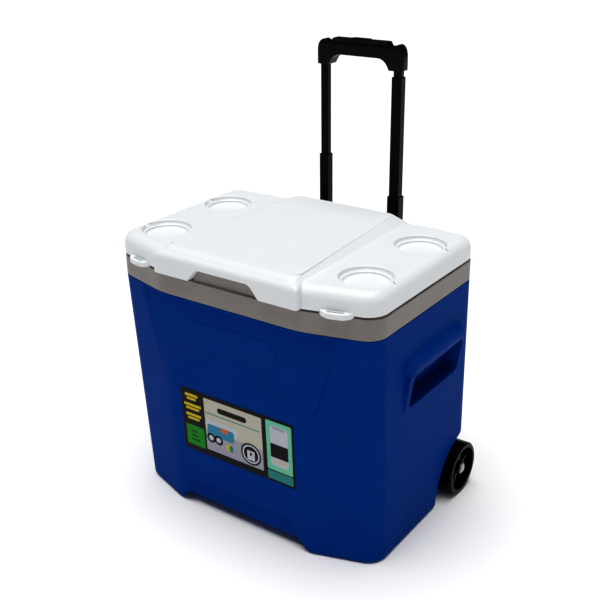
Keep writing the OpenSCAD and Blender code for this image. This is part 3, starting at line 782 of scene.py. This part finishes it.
@dataclass
class Chest:
    """Blue outer shell with its sunken panels, side grips, feet and wheel wells, and the collar on it."""

    front_flat: float = 125.0
    setback: float = 28.0
    front_corner: float = 30.0
    rear_corner: float = 28.0
    low_narrower: float = 4.0
    low_front_in: float = 14.5
    low_setback: float = 6.0
    low_back_out: float = 14.0
    panel_depth: float = 5.0
    arch_height: float = 18.0
    arch_half: float = 116.0
    grip_low: float = 234.0
    grip_high: float = 290.0
    grip_y: float = 36.0
    grip_half: float = 75.0
    grip_depth: float = 28.0
    well_x: float = 208.0
    bar_radius: float = 19.0
    bar_inward: float = 8.0
    bar_z: float = 302.0
    clear: float = 60.0
    badge_half: float = 86.0
    badge_low: float = 297.0
    badge_high: float = 341.0
    badge_rise: float = 0.8
    badge_root: float = 2.0
    toe_depth: float = 4.5
    edge_soft: float = 1.6

    def __post_init__(self) -> None:
        """Takes the sizes that the frame gives."""
        self.half = COLLAR[1].x
        self.front = COLLAR[0].y - MIDDLE_Y
        self.back = COLLAR[1].y - MIDDLE_Y
        self.height = SHELL[1].z

    def plan(self, low: float = 0.0, inset: float = 0.0, back: float | None = None) -> list[Point]:
        """Corners of the chest's plan.

        Args:
            low: 0 at the rim, 1 at the ground.
            inset: How far the outline is pulled in.
            back: Y of the back, where it isn't the chest's own.

        Returns:
            Six corners, the front left flat corner first.
        """
        half = self.half - self.low_narrower * low
        front = self.front + self.low_front_in * low
        rear = (self.back + self.low_back_out * low if back is None else back) - inset
        slope = (self.setback + self.low_setback * low) / (half - self.front_flat)
        slant = math.hypot(1.0, slope)
        flat = self.front_flat - inset * (slant - 1) / slope
        side = front + slope * (half - inset - self.front_flat) + inset * slant
        half -= inset
        right = [(flat, front + inset), (half, side), (half, rear)]
        return [(-flat, front + inset), *right, (-half, rear), (-half, side)]

    def corner_sizes(self, inset: float = 0.0) -> list[float]:
        """How far from each corner of the plan its rounding starts."""
        front, rear = max(self.front_corner - inset, 4.0), max(self.rear_corner - inset, 4.0)
        return [14.0, 14.0, front * 0.78, rear, rear, front * 0.78]

    def face_y(self, x: float, z: float) -> float:
        """Y of the front's surface.

        Args:
            x: Where, across.
            z: Height over the ground.

        Returns:
            Where the drafted, set-back front lies there.
        """
        low = 1 - z / self.height
        wing = self.half - self.low_narrower * low - self.front_flat
        slope = (self.setback + self.low_setback * low) / wing
        return self.front + self.low_front_in * low + slope * max(0.0, abs(x) - self.front_flat)

    def block(self) -> bmesh.types.BMesh:
        """Makes the drafted block of the shell."""
        return loft([(0.0, self.plan(1.0)), (self.height, self.plan())], self.corner_sizes(), 10)

    def sunken(
        self, near: list[Point], deep: list[Point], radii: list[float], depth: float
    ) -> bmesh.types.BMesh:
        """Makes the tool for a panel sunk into the front, which follows the set-back corners.

        Args:
            near: Its outline on the surface.
            deep: Its outline on the sunken panel.
            radii: Rounding of each corner.
            depth: How deep it is sunk.

        Returns:
            The tool.
        """
        tool = prism(near, Plane.FRONT, 0.0, 1.0, radii, 8, far=deep)
        for side in (-1, 1):
            bmesh.ops.bisect_plane(
                tool,
                geom=tool.verts[:] + tool.edges[:] + tool.faces[:],
                plane_co=(side * self.front_flat, 0, 0),
                plane_no=(side, 0, 0),
            )
        share = {v: v.co.y for v in tool.verts}
        for vert, inward in share.items():
            vert.co.y = self.face_y(vert.co.x, vert.co.z) - 0.05 + inward * (depth + 0.05)
        rim = [f for f in tool.faces if all(share[v] < 0.01 for v in f.verts)]
        pulled = bmesh.ops.extrude_face_region(tool, geom=rim)["geom"]
        bmesh.ops.delete(tool, geom=rim, context="FACES")
        for vert in (g for g in pulled if isinstance(g, bmesh.types.BMVert)):
            vert.co.y = self.front - 20
        bmesh.ops.recalc_face_normals(tool, faces=tool.faces)
        return tool

    def raised(
        self, points: list[Point], radii: list[float], rise: float, root: float
    ) -> bmesh.types.BMesh:
        """Makes a plain flat boss that stands on the sunken panel.

        Args:
            points: Its outline.
            radii: Rounding of each corner.
            rise: How far it stands out of the panel.
            root: How deep it reaches into the wall.

        Returns:
            The solid.
        """
        boss = prism(points, Plane.FRONT, 0.0, 1.0, radii, 8)
        for vert in boss.verts:
            face = self.face_y(vert.co.x, vert.co.z) + self.panel_depth
            vert.co.y = face - rise + vert.co.y * (rise + root)
        return soften(boss, 0.5, 2, 40.0)

    def core(self) -> bmesh.types.BMesh:
        """Makes the solid inside the shell's wall: the foam and the room within it."""
        inset = 37.0
        floor = cad_box("food_liner")[0].z - 4.0
        fill = loft(
            [(floor, self.plan(1 - floor / self.height, inset)), (self.height + 5, self.plan(0.0, inset))],
            self.corner_sizes(inset),
        )
        return carve(fill, copy_of("foam_core"), Cut.JOIN)

    def by_badge(self, edge: bmesh.types.BMEdge) -> bool:
        """Tells an edge of the badge, which is softened already."""
        place = (edge.verts[0].co + edge.verts[1].co) / 2
        over_it = self.badge_low - 3 < place.z < self.badge_high + 3
        return over_it and abs(place.x) < self.badge_half + 2 and place.y < self.front + 20

    def build_shell(self) -> bpy.types.Object:
        """Makes the outer shell."""
        bm = self.block()
        bm = soften(bm, 7.0, 5, 50.0, lambda e: all(v.co.z < 1 for v in e.verts))
        # Plain cheeks that carry the hood out of the wall, then the hood's round bar.
        cheeks = prism(
            [(205.0, 222.0), (self.half - 1.6, 229.0), (self.half + 8.5, 296.0), (205.0, 312.0)],
            Plane.FRONT,
            self.grip_y - self.grip_half - 13,
            self.grip_y + self.grip_half + 5,
            [0, 0, 6, 0],
        )
        bar_x = self.half - self.bar_inward
        bar = capsule(
            Vector((bar_x, self.grip_y - self.grip_half, self.bar_z)),
            Vector((bar_x, self.grip_y + self.grip_half - 10, self.bar_z)),
            self.bar_radius,
        )
        for solid in (cheeks, bar):
            bm = carve_both(bm, solid, Cut.JOIN)
        y0, y1 = self.grip_y - self.grip_half, self.grip_y + self.grip_half
        pocket = prism(
            rectangle(y0, self.grip_low, y1, self.grip_high),
            Plane.SIDE,
            self.half - self.grip_depth,
            self.half + self.clear,
            10.0,
        )
        well = prism(
            [(67.0, -5.0), (72.0, 40.0), (104.0, 88.0), (138.0, 99.0), (250.0, 135.0), (250.0, -5.0)],
            Plane.SIDE,
            self.well_x,
            self.half + self.clear,
            [0, 18, 22, 10, 0, 0],
        )
        for solid in (pocket, well):
            bm = carve_both(bm, solid)
        wide = [(-179.0, 371.0), (-141.0, 236.0), (141.0, 236.0), (179.0, 371.0)]
        wide_deep = [(-168.0, 371.0), (-126.0, 266.0), (126.0, 266.0), (168.0, 371.0)]
        bm = carve(bm, self.sunken(wide, wide_deep, [0, 24, 24, 0], self.panel_depth))
        toe = [(-121.0, -5.0), (-98.0, 54.0), (98.0, 54.0), (121.0, -5.0)]
        toe_deep = [(-116.0, -5.0), (-94.0, 49.0), (94.0, 49.0), (116.0, -5.0)]
        bm = carve(bm, self.sunken(toe, toe_deep, [0, 9, 9, 0], self.toe_depth))
        tip, low, high = self.badge_half, self.badge_low, self.badge_high
        flat, middle = tip - 20.0, (low + high) / 2
        badge = [(-tip, middle), (-flat, low), (flat, low), (tip, middle), (flat, high), (-flat, high)]
        bm = carve(bm, self.raised(badge, [6, 8, 8, 6, 8, 8], self.badge_rise, self.badge_root), Cut.JOIN)
        arch = [
            (-self.arch_half - 16, -5.0),
            (-self.arch_half, self.arch_height),
            (self.arch_half, self.arch_height),
            (self.arch_half + 16, -5.0),
        ]
        bm = carve(bm, prism(arch, Plane.FRONT, self.front - 30, self.back + self.clear, [0, 7, 7, 0]))
        bm = soften(bm, self.edge_soft, 3, 24.0, lambda e: not self.by_badge(e))
        bm = carve(bm, self.core())
        return finish_piece("shell", bm, BLUE_SHELL, Duty("chest", "blue_shell", ("outer_shell",)))

    def build_collar(self) -> bpy.types.Object:
        """Makes the collar with its thin upper lip."""
        low, high = COLLAR[0].z, COLLAR[1].z
        bm = loft([(low, self.plan()), (high, self.plan())], self.corner_sizes(), 10)
        hole = self.plan(0.0, 42.0)
        bm = carve(bm, loft([(low - 5, hole), (high + 5, hole)], self.corner_sizes(4), 10))
        # Upright ledge that closes the finger notch behind the fingertips.
        ledge = [(-66.0, high - 4), (-50.0, high + 21.5), (50.0, high + 21.5), (66.0, high - 4)]
        bm = carve(bm, prism(ledge, Plane.FRONT, self.front + 4.0, self.front + 6.5, [0, 5, 5, 0]), Cut.JOIN)
        bm = soften(bm, 1.2, 3, 40.0)
        return finish_piece("collar", bm, TAUPE_COLLAR, Duty("chest", "taupe_plastic", ("rim_collar",)))

    def build(self) -> None:
        """Makes every piece of the chest."""
        self.build_shell()
        self.build_collar()


# ---------------------------------------------------------------- the lid


@dataclass
class Lid:
    """White lid with its raised middle, can recesses, finger notch and tie-down ears."""

    chest: Chest
    boss_half: float = 130.0
    boss_out: float = 9.0
    edge_round: float = 17.0
    nose_round: float = 24.0
    cup_x: float = 181.0
    cup_front: float = -78.0
    cup_rear: float = 72.0
    cup_radius: float = 38.0
    cup_depth: float = 11.0
    notch_half: float = 60.0
    notch_height: float = 20.0
    side_height: float = 33.0

    def __post_init__(self) -> None:
        """Takes the sizes that the frame gives."""
        self.low = LID[0].z
        self.top = LID[1].z
        self.side_top = self.low + self.side_height
        self.back = self.chest.back - 2.0

    def slab(self) -> bmesh.types.BMesh:
        """Makes the slab over the whole chest, widely rounded at the top."""
        chest, r = self.chest, self.edge_round
        steps = [(self.low, 1.6), (self.low + 0.6, 0.5), (self.low + 1.8, 0.0)]
        steps += [(self.side_top - r + r * math.sin(a), r - r * math.cos(a)) for a in quarter(10)]
        levels = [(z, chest.plan(0.0, inset, self.back)) for z, inset in steps]
        return loft(levels, [chest.corner_sizes(inset) for _, inset in steps], 12)

    def middle(self) -> bmesh.types.BMesh:
        """Makes the raised middle panel with its rounded nose; its side slopes widen towards the back."""
        nose, front = self.nose_round, self.chest.front - self.boss_out
        foot = self.top - nose
        rear = self.back - 7.0
        heights = [foot + nose * math.sin(a) for a in quarter(12)]
        levels = []
        for z in heights[:-1] + [self.top - 0.35, self.top]:
            share = (z - self.side_top) / (self.top - self.side_top)
            crisp = {self.top - 0.35: 0.7, self.top: 1.8}.get(z, 0.0)
            y = front + nose - math.sqrt(max(0.0, nose * nose - (z - foot) ** 2))
            ahead = min(122.0 - 6.0 * share, 128.0) - crisp
            behind, end = 115.0 - 23.0 * share - crisp, rear - crisp
            levels.append((z, [(-ahead, y), (ahead, y), (behind, end), (-behind, end)]))
        return loft(levels, [13.0, 13.0, 8.0, 8.0], 8)

    def boss(self) -> bmesh.types.BMesh:
        """Makes the upright front of the middle panel, which stands out past the slab."""
        half, front = self.boss_half, self.chest.front - self.boss_out
        r, top = 11.0, self.side_top + 2.0
        steps = [(self.low, 1.6), (self.low + 0.6, 0.5), (self.low + 1.8, 0.0)]
        steps += [(top - r + r * math.sin(a), r - r * math.cos(a)) for a in quarter(8)]
        levels = []
        for z, inset in steps:
            wide = half - inset
            near, far = front + inset, front + 60
            levels.append((z, [(-wide, near), (wide, near), (wide - 10, far), (10 - wide, far)]))
        return loft(levels, [7.0, 7.0, 0.0, 0.0], 6)

    def ribs(self) -> list[bmesh.types.BMesh]:
        """Makes the plain grip ribs that follow the nose over the finger notch."""
        nose = self.nose_round
        middle_y, middle_z = self.chest.front - self.boss_out + nose, self.top - nose
        solids = []
        for number in range(13):
            arc = [math.radians(14 + 5 * step) for step in range(6)]
            outer, inner = (
                [(middle_y - r * math.cos(a), middle_z + r * math.sin(a)) for a in arc]
                for r in (nose + 0.55, nose - 1.5)
            )
            left = -70.0 + number * 11.0
            solids.append(soften(prism(outer + inner[::-1], Plane.SIDE, left, left + 5.5), 0.45, 2, 40.0))
        return solids

    def cup_tool(self, x: float, y: float) -> bmesh.types.BMesh:
        """Makes the tool for a can recess with its ring step.

        Args:
            x: Where the recess is, across.
            y: Where the recess is, front to back.

        Returns:
            The tool.
        """
        r, top, deep = self.cup_radius, self.side_top, self.cup_depth
        profile = [
            (0.0, top - deep),
            (r - 7.5, top - deep),
            (r - 5.0, top - deep + 1.6),
            (r - 5.0, top - deep + 4.0),
            (r - 2.5, top - deep + 4.6),
            (r - 0.5, top - deep + 7.0),
            (r, top - 1.2),
            (r + 2.2, top + 0.2),
            (r + 2.2, top + 30),
            (0.0, top + 30),
        ]
        return lathe(profile, "Z", Vector((x, y, 0)), 72)

    def drain_tool(self, x: float, y: float) -> bmesh.types.BMesh:
        """Makes the tool for the V drain beside a recess, on the right side."""
        r = self.cup_radius
        points = [(x + r - 8, y - 10), (x + r + 9, y - 1.5), (x + r + 9, y + 1.5), (x + r - 8, y + 10)]
        return prism(points, Plane.TOP, self.side_top - 4.5, self.side_top + 20, [0, 1, 1, 0], 2)

    def ear(self) -> bmesh.types.BMesh:
        """Makes the right tie-down ear: a D-shaped tab with a slot."""
        chest = self.chest
        slope = chest.setback / (chest.half - chest.front_flat)
        x = 176.0
        face = chest.front + slope * (x - chest.front_flat)
        turn = Matrix.Rotation(math.atan(slope), 4, "Z")
        place = Matrix.Translation((x, face + 1, self.low)) @ turn
        tab = prism(
            [(-24, 6), (-24, 0), (-19, -9), (0, -13.4), (19, -9), (24, 0), (24, 6)],
            Plane.TOP,
            -3.5,
            5.0,
            [0, 2, 9, 12, 9, 2, 0],
            5,
        )
        slot = prism(rectangle(-12.0, -6.6, 12.0, -2.0), Plane.TOP, -6, 10, 2.2, 5)
        tab = carve(tab, slot)
        soften(tab, 1.9, 4, 40.0)
        bmesh.ops.transform(tab, matrix=place, verts=tab.verts)
        return tab

    def is_plain(self, edge: bmesh.types.BMEdge) -> bool:
        """Tells an edge that can be rounded from one beside the middle's foot or in a drain."""
        middle = (edge.verts[0].co + edge.verts[1].co) / 2
        across = abs(middle.x)
        by_foot = 112 < across < 146 and middle.y < self.chest.front + 14
        by_drain = across > self.cup_x + self.cup_radius - 9 and middle.z > self.side_top - 14
        return not by_foot and not by_drain

    def build_shell(self) -> bpy.types.Object:
        """Makes the lid's white shell."""
        bm = carve(self.slab(), self.middle(), Cut.JOIN)
        bm = carve(bm, self.boss(), Cut.JOIN)
        for y in (self.cup_front, self.cup_rear):
            bm = carve_both(bm, self.cup_tool(self.cup_x, y))
            bm = carve_both(bm, self.drain_tool(self.cup_x, y))
        half, high = self.notch_half, self.low + self.notch_height
        notch = [(-half - 8, self.low - 5), (-half + 12, high), (half - 12, high), (half + 8, self.low - 5)]
        front = self.chest.front
        bm = carve(bm, prism(notch, Plane.FRONT, front - 30, front + 8, [0, 6, 6, 0]))
        bm = soften(bm, 0.8, 3, 24.0, self.is_plain)
        for rib in self.ribs():
            add(bm, rib)
        ear = self.ear()
        add(bm, mirrored(ear))
        add(bm, ear)
        return finish_piece("lid_top", bm, WHITE_LID, Duty("lid", "white_plastic", ("lid_shell",)))

    def build(self) -> None:
        """Makes every piece of the lid."""
        self.build_shell()


# ---------------------------------------------------------------- the label


@dataclass
class Label:
    """Printed label on the front: plain blocks of colour, simple pictures and no lettering."""

    chest: Chest
    thick: float = 0.36
    corner: float = 3.0
    ink_step: float = 0.03

    def __post_init__(self) -> None:
        """Takes the place and the size that the frame gives."""
        low, high = cad_box("front_label")
        self.left, self.low = low.x, low.z
        self.width, self.height = high.x - low.x, high.z - low.z
        self.inks: list[PrintedInk] = []
        self.sheet = bmesh.new()

    def ink(self, finish: PrintedInk) -> int:
        """Gives the number of an ink on the label.

        Args:
            finish: The ink.

        Returns:
            Its place in the piece's materials.
        """
        if finish not in self.inks:
            self.inks.append(finish)
        return self.inks.index(finish)

    def patch(
        self,
        finish: PrintedInk,
        left: float,
        low: float,
        width: float,
        height: float,
        corner: float,
        layer: int,
    ) -> None:
        """Prints a rounded block.

        Args:
            finish: Its ink.
            left: Distance of its left edge from the label's left edge.
            low: Distance of its lower edge from the label's lower edge.
            width: Its width.
            height: Its height.
            corner: Rounding of its corners.
            layer: How many inks lie under it.
        """
        face = -self.thick - layer * self.ink_step
        block = prism(
            rectangle(left, low, left + width, low + height),
            Plane.FRONT,
            face,
            0.0 if layer == 0 else face + self.ink_step,
            corner,
            6,
        )
        number = self.ink(finish)
        for side in block.faces:
            side.material_index = number
        add(self.sheet, block)

    def pictures(self) -> None:
        """Prints the left column, the middle picture and the can on the right."""
        w, h = self.width, self.height
        self.patch(LABEL_BLACK, 0, 0, w, h, self.corner, 0)
        for row, (across, start) in enumerate(((25, 9), (33, 6), (30, 8))):
            top = h - 13 - row * 17.5
            self.patch(LABEL_YELLOW, start, top, across, 4.6, 0.8, 1)
            self.patch(LABEL_YELLOW, start + 3, top - 6.2, across - 7, 4.2, 0.8, 1)
        self.patch(LABEL_GREEN, 6, 10, 36, 36, 2.0, 1)
        for line in range(3):
            self.patch(LABEL_BLACK, 15, 19 + line * 7.5, 17 - line * 2, 2.4, 0.6, 2)
        self.patch(LABEL_STONE, 46, 12, 110, h - 19, 1.0, 1)
        self.patch(LABEL_GREY, 46, 12, 110, 36, 1.0, 2)
        self.patch(LABEL_BLACK, 72, h - 26, 56, 9.5, 4.5, 2)
        self.patch(LABEL_TEAL, 48, h - 33, 104, 1.8, 0.6, 2)
        self.patch(LABEL_SILVER, 48, 50, 62, 18, 6.0, 3)
        self.patch(LABEL_SKY, 50, 40, 52, 20, 4.0, 4)
        self.patch(LABEL_ORANGE, 76, 52, 14, 8.5, 4.0, 5)
        self.patch(LABEL_YELLOW, 84, 22, 14, 12, 5.5, 5)
        self.patch(LABEL_TEAL, 91, 22, 7.5, 12, 3.5, 6)
        for x in (47.5, 62.0):
            self.patch(LABEL_BLACK, x, 27, 17, 17, 8.0, 5)
            self.patch(LABEL_SILVER, x + 4, 31, 9, 9, 4.2, 6)
        self.patch(LABEL_BLACK, 114, 14, 38, 38, 18.0, 5)
        self.patch(LABEL_SILVER, 117, 17, 32, 32, 15.5, 6)
        self.patch(LABEL_BLACK, 119.5, 19.5, 27, 27, 13.0, 7)
        self.patch(LABEL_SILVER, 126, 22, 14, 17, 1.5, 8)
        self.patch(LABEL_BLACK, 131, 30, 4, 6, 1.8, 9)
        self.patch(LABEL_BLACK, w - 53, 2, 52, 24, 1.0, 3)
        self.patch(LABEL_TEAL, w - 50, 4, 46, 15, 1.5, 4)
        self.patch(LABEL_MINT, w - 50, 21, 46, h - 26, 2.5, 4)
        self.patch(LABEL_SILVER, w - 43, 30, 32, h - 42, 6.0, 5)
        self.patch(LABEL_GREY, w - 39, h - 18, 24, 5, 2.4, 6)
        self.patch(LABEL_BLACK, w - 43, 44, 32, 24, 0.8, 6)
        self.patch(LABEL_STONE, w - 40, 34, 26, 8, 1.0, 6)

    def build(self) -> None:
        """Makes the label and leans it onto the front."""
        self.pictures()
        chest = self.chest
        lean = chest.low_front_in / chest.height
        foot = chest.face_y(0.0, self.low)
        turn = Matrix.Rotation(math.atan(lean), 4, "X")
        place = Matrix.Translation((self.left, foot - 0.02, self.low)) @ turn
        bmesh.ops.transform(self.sheet, matrix=place, verts=self.sheet.verts)
        duty = Duty("chest", "label", ("front_label",))
        finish_piece("printed_label", self.sheet, list(self.inks), duty)


# ---------------------------------------------------------------- the handle's grip


@dataclass
class Grip:
    """Grip of the pull handle: a round-edged bar with horned shoulders and a socket round each tube."""

    socket_half: float = 12.0
    arch: float = 17.0
    horn: float = 3.0
    shoulder_z: float = 26.0
    edge_round: float = 8.0
    hollow_half: float = 6.0
    slot_half: float = 8.0

    def __post_init__(self) -> None:
        """Takes the sizes that the frame gives."""
        self.low, self.high = cad_box("grip_shell")
        self.tube = cad_box("inner_tube_right")
        self.leg = (self.tube[0].x + self.tube[1].x) / 2
        self.middle_y = (self.low.y + self.high.y) / 2 - MIDDLE_Y
        self.half_depth = (self.high.y - self.low.y) / 2
        self.bar_top = self.high.z - self.horn - 0.3

    def bar(self) -> bmesh.types.BMesh:
        """Makes the bar with its rounded section and round ends."""
        half, foot, top = self.high.x, self.low.z, self.bar_top
        inner, arch = self.leg - self.socket_half, foot + self.arch
        right = [
            (inner - 9.0, arch),
            (inner, foot),
            (half - 0.8, foot),
            (half, foot + self.shoulder_z),
            (self.leg + 1.0, top + self.horn),
            (self.leg - 6.0, top - 2.0),
        ]
        left = [(-x, z) for x, z in reversed(right)]
        sizes = [11.0, 1.5, 2.0, 13.0, 3.0, 4.0]
        start, end = self.middle_y - self.half_depth, self.middle_y + self.half_depth
        bar = prism(right + left, Plane.FRONT, start, end, sizes + sizes[::-1], 6)
        plan = rectangle(-half, start, half, end)
        bar = carve(bar, prism(plan, Plane.TOP, foot - 1, self.high.z + 1, self.edge_round, 6), Cut.COMMON)
        side = rectangle(start, foot - 1, end, top + self.horn)
        around = [0, 0, self.edge_round, self.edge_round]
        return carve(bar, prism(side, Plane.SIDE, -half - 1, half + 1, around, 6), Cut.COMMON)

    def hollow(self, bar: bmesh.types.BMesh) -> bmesh.types.BMesh:
        """Cuts the room for the yoke, the top insert and the tubes.

        Args:
            bar: The bar; it is freed.

        Returns:
            The hollow bar.
        """
        y, foot = self.middle_y, self.low.z
        tube_half = (self.tube[1].x - self.tube[0].x) / 2
        room = self.leg + 3.5
        floor = foot + self.arch + 4.0
        insert = cad_box("grip_bridge")
        above = self.high.z + 10.0
        left, right = insert[0].x - 0.3, insert[1].x + 0.3
        boxes = [
            ((-room, y - self.hollow_half, floor), (room, y + self.hollow_half, self.bar_top - 1.0)),
            ((left, y - self.slot_half, insert[0].z - 0.1), (right, y + self.slot_half, above)),
        ]
        depth = (self.tube[1].y - self.tube[0].y) / 2
        for leg in (-self.leg, self.leg):
            socket = (leg - tube_half, y - depth, foot - 1), (leg + tube_half, y + depth, foot + 14)
            boxes.append(socket)
        for near, far in boxes:
            plan = rectangle(near[0], near[1], far[0], far[1])
            bar = carve(bar, prism(plan, Plane.TOP, near[2], far[2]))
        for leg in (-self.leg, self.leg):
            hole = [(0.0, foot + 13), (3.6, foot + 13), (3.6, floor + 1), (0.0, floor + 1)]
            bar = carve(bar, lathe(hole, "Z", Vector((leg, y, 0)), 32))
        return bar

    def build(self) -> None:
        """Makes the grip."""
        bar = self.hollow(self.bar())
        finish_piece("grip_bar", bar, BLACK_NYLON, Duty("handle", "black_plastic", ("grip_shell",)), 40.0)


# ---------------------------------------------------------------- carried-over CAD pieces


@dataclass(frozen=True)
class Trim:
    """A CAD node that keeps its shape, with softened edges and a finish."""

    node: str
    body: str
    slot: str
    finish: MouldedPlastic | TurnedMetal
    round_mm: float = 0.4


def sides(*rows: Trim) -> list[Trim]:
    """Gives each row for the left side and for the right side.

    Args:
        rows: Pieces whose node and body hold "*" where the side's name goes.

    Returns:
        The pieces of both sides, the left one first.
    """
    return [
        replace(row, node=row.node.replace("*", side), body=row.body.replace("*", side))
        for row in rows
        for side in ("left", "right")
    ]


TRIMS = [
    Trim("food_liner", "chest", "white_plastic", WHITE_LINER, 0.0),
    Trim("foam_core", "chest", "foam", FOAM, 0.0),
    Trim("lid_liner", "lid", "white_plastic", WHITE_LINER, 0.5),
    *sides(
        Trim("hinge_body_leaf_*", "chest", "white_plastic", WHITE_LID),
        Trim("hinge_lid_leaf_*", "lid", "white_plastic", WHITE_LID),
    ),
    Trim("handle_top_bracket", "chest", "black_plastic", BLACK_NYLON, 1.2),
    Trim("handle_bottom_bracket", "chest", "black_plastic", BLACK_NYLON, 1.2),
    Trim("grip_bridge", "handle", "black_plastic", BLACK_NYLON, 0.6),
    Trim("release_button", "button", "black_plastic", BLACK_NYLON, 0.6),
    Trim("release_yoke", "button", "black_plastic", GREY_NYLON, 0.3),
    Trim("tube_plugs", "handle", "black_plastic", GREY_NYLON, 0.3),
    *sides(
        Trim("wheel_*", "wheel_*", "black_plastic", BLACK_WHEEL, 0.6),
        Trim("sleeve_*", "chest", "black_tube", BLACK_PAINT, 0.15),
        Trim("outer_tube_*", "outer_stage_*", "black_tube", BLACK_PAINT, 0.15),
        Trim("mid_tube_*", "mid_stage_*", "black_tube", BLACK_PAINT, 0.15),
        Trim("inner_tube_*", "handle", "black_tube", BLACK_PAINT, 0.15),
    ),
    Trim("axle", "chest", "steel", ZINC, 0.3),
    Trim("axle_washers", "chest", "steel", ZINC, 0.2),
    Trim("axle_caps", "chest", "steel", ZINC, 0.3),
    Trim("hinge_pins", "chest", "steel", ZINC, 0.3),
    Trim("hinge_body_screws", "chest", "steel", ZINC, 0.2),
    Trim("hinge_lid_screws", "lid", "steel", ZINC, 0.2),
    Trim("bracket_screws", "chest", "steel", ZINC, 0.2),
    Trim("grip_screws", "handle", "steel", ZINC, 0.2),
    *sides(Trim("lock_pin_*", "pin_*", "steel", ZINC, 0.2)),
]


def build_trims(trims: list[Trim]) -> None:
    """Makes the pieces that keep their CAD shape.

    Args:
        trims: What to make.
    """
    for trim in trims:
        bm = copy_of(trim.node)
        if trim.round_mm > 0:
            soften(bm, trim.round_mm, 2, 40.0)
        finish_piece(trim.node + "_piece", bm, trim.finish, Duty(trim.body, trim.slot, (trim.node,)))


# ---------------------------------------------------------------- studio


def build_studio() -> None:
    """Makes the floor, the lights and the sky, and puts up the camera."""
    scene = bpy.context.scene
    scene.view_settings.view_transform = "Standard"
    scene.view_settings.look = "Medium High Contrast"
    bm = bmesh.new()
    bmesh.ops.create_grid(bm, x_segments=1, y_segments=1, size=20.0)
    floor = to_object(bm, "studio_floor")
    material, tree = blank_material("Pale_studio_floor")
    shader = add_node(
        tree, "ShaderNodeBsdfPrincipled", {"Base Color": linear("#fafafa"), "Roughness": 0.9}
    )
    add_node(tree, "ShaderNodeOutputMaterial", {"Surface": shader.outputs["BSDF"]})
    floor.data.materials.append(material)
    world = bpy.data.worlds.new("studio")
    world.use_nodes = True
    sky = world.node_tree.nodes["Background"]
    sky.inputs["Color"].default_value = (1.0, 1.0, 1.0, 1.0)
    sky.inputs["Strength"].default_value = 0.05
    scene.world = world
    # A broad overhead softbox, drawn as a sun with a wide disc so that floor and lid are lit evenly.
    for name, source, power, spread in (
        ("overhead", (-0.06, -0.06, 1.0), 2.98, 50.0),
        ("side_fill", (1.0, -0.2, 0.7), 0.16, 50.0),
    ):
        lamp = bpy.data.lights.new(name, "SUN")
        lamp.energy = power
        lamp.angle = math.radians(spread)
        obj = bpy.data.objects.new(name, lamp)
        obj.rotation_euler = (-Vector(source)).to_track_quat("-Z", "Y").to_euler()
        scene.collection.objects.link(obj)
    View().build()


@dataclass(frozen=True)
class View:
    """The camera: where it stands, where it looks and how long its lens is."""

    place_mm: tuple[float, float, float] = (799.4, -1095.8, 922.7)
    azimuth: float = 35.60
    elevation: float = 23.43
    roll: float = -0.78
    lens_mm: float = 57.24
    sensor_mm: float = 36.0

    def build(self) -> None:
        """Puts the camera into the scene."""
        scene = bpy.context.scene
        lens = bpy.data.cameras.new("camera")
        lens.sensor_width = self.sensor_mm
        lens.lens = self.lens_mm
        camera = bpy.data.objects.new("camera", lens)
        azimuth, elevation, roll = map(math.radians, (self.azimuth, self.elevation, self.roll))
        right = Vector((math.cos(azimuth), math.sin(azimuth), 0))
        level = Vector((-math.sin(azimuth), math.cos(azimuth), 0))
        ahead = level * math.cos(elevation) - Vector((0, 0, math.sin(elevation)))
        up = right.cross(ahead)
        right, up = right * math.cos(roll) + up * math.sin(roll), up * math.cos(roll) - right * math.sin(roll)
        turn = Matrix((right, up, -ahead)).transposed().to_4x4()
        place = (Vector(self.place_mm) + Vector((0, MIDDLE_Y, 0))) * MM
        camera.matrix_world = Matrix.Translation(place) @ turn
        scene.collection.objects.link(camera)
        scene.camera = camera


def main() -> None:
    """Builds every sub-assembly."""
    build_studio()
    chest = Chest()
    chest.build()
    Label(chest).build()
    Lid(chest).build()
    Grip().build()
    build_trims(TRIMS)
    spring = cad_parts["button_spring"].data
    spring.materials.clear()
    spring.materials.append(ZINC.material())


if __name__ == "__main__":
    main()
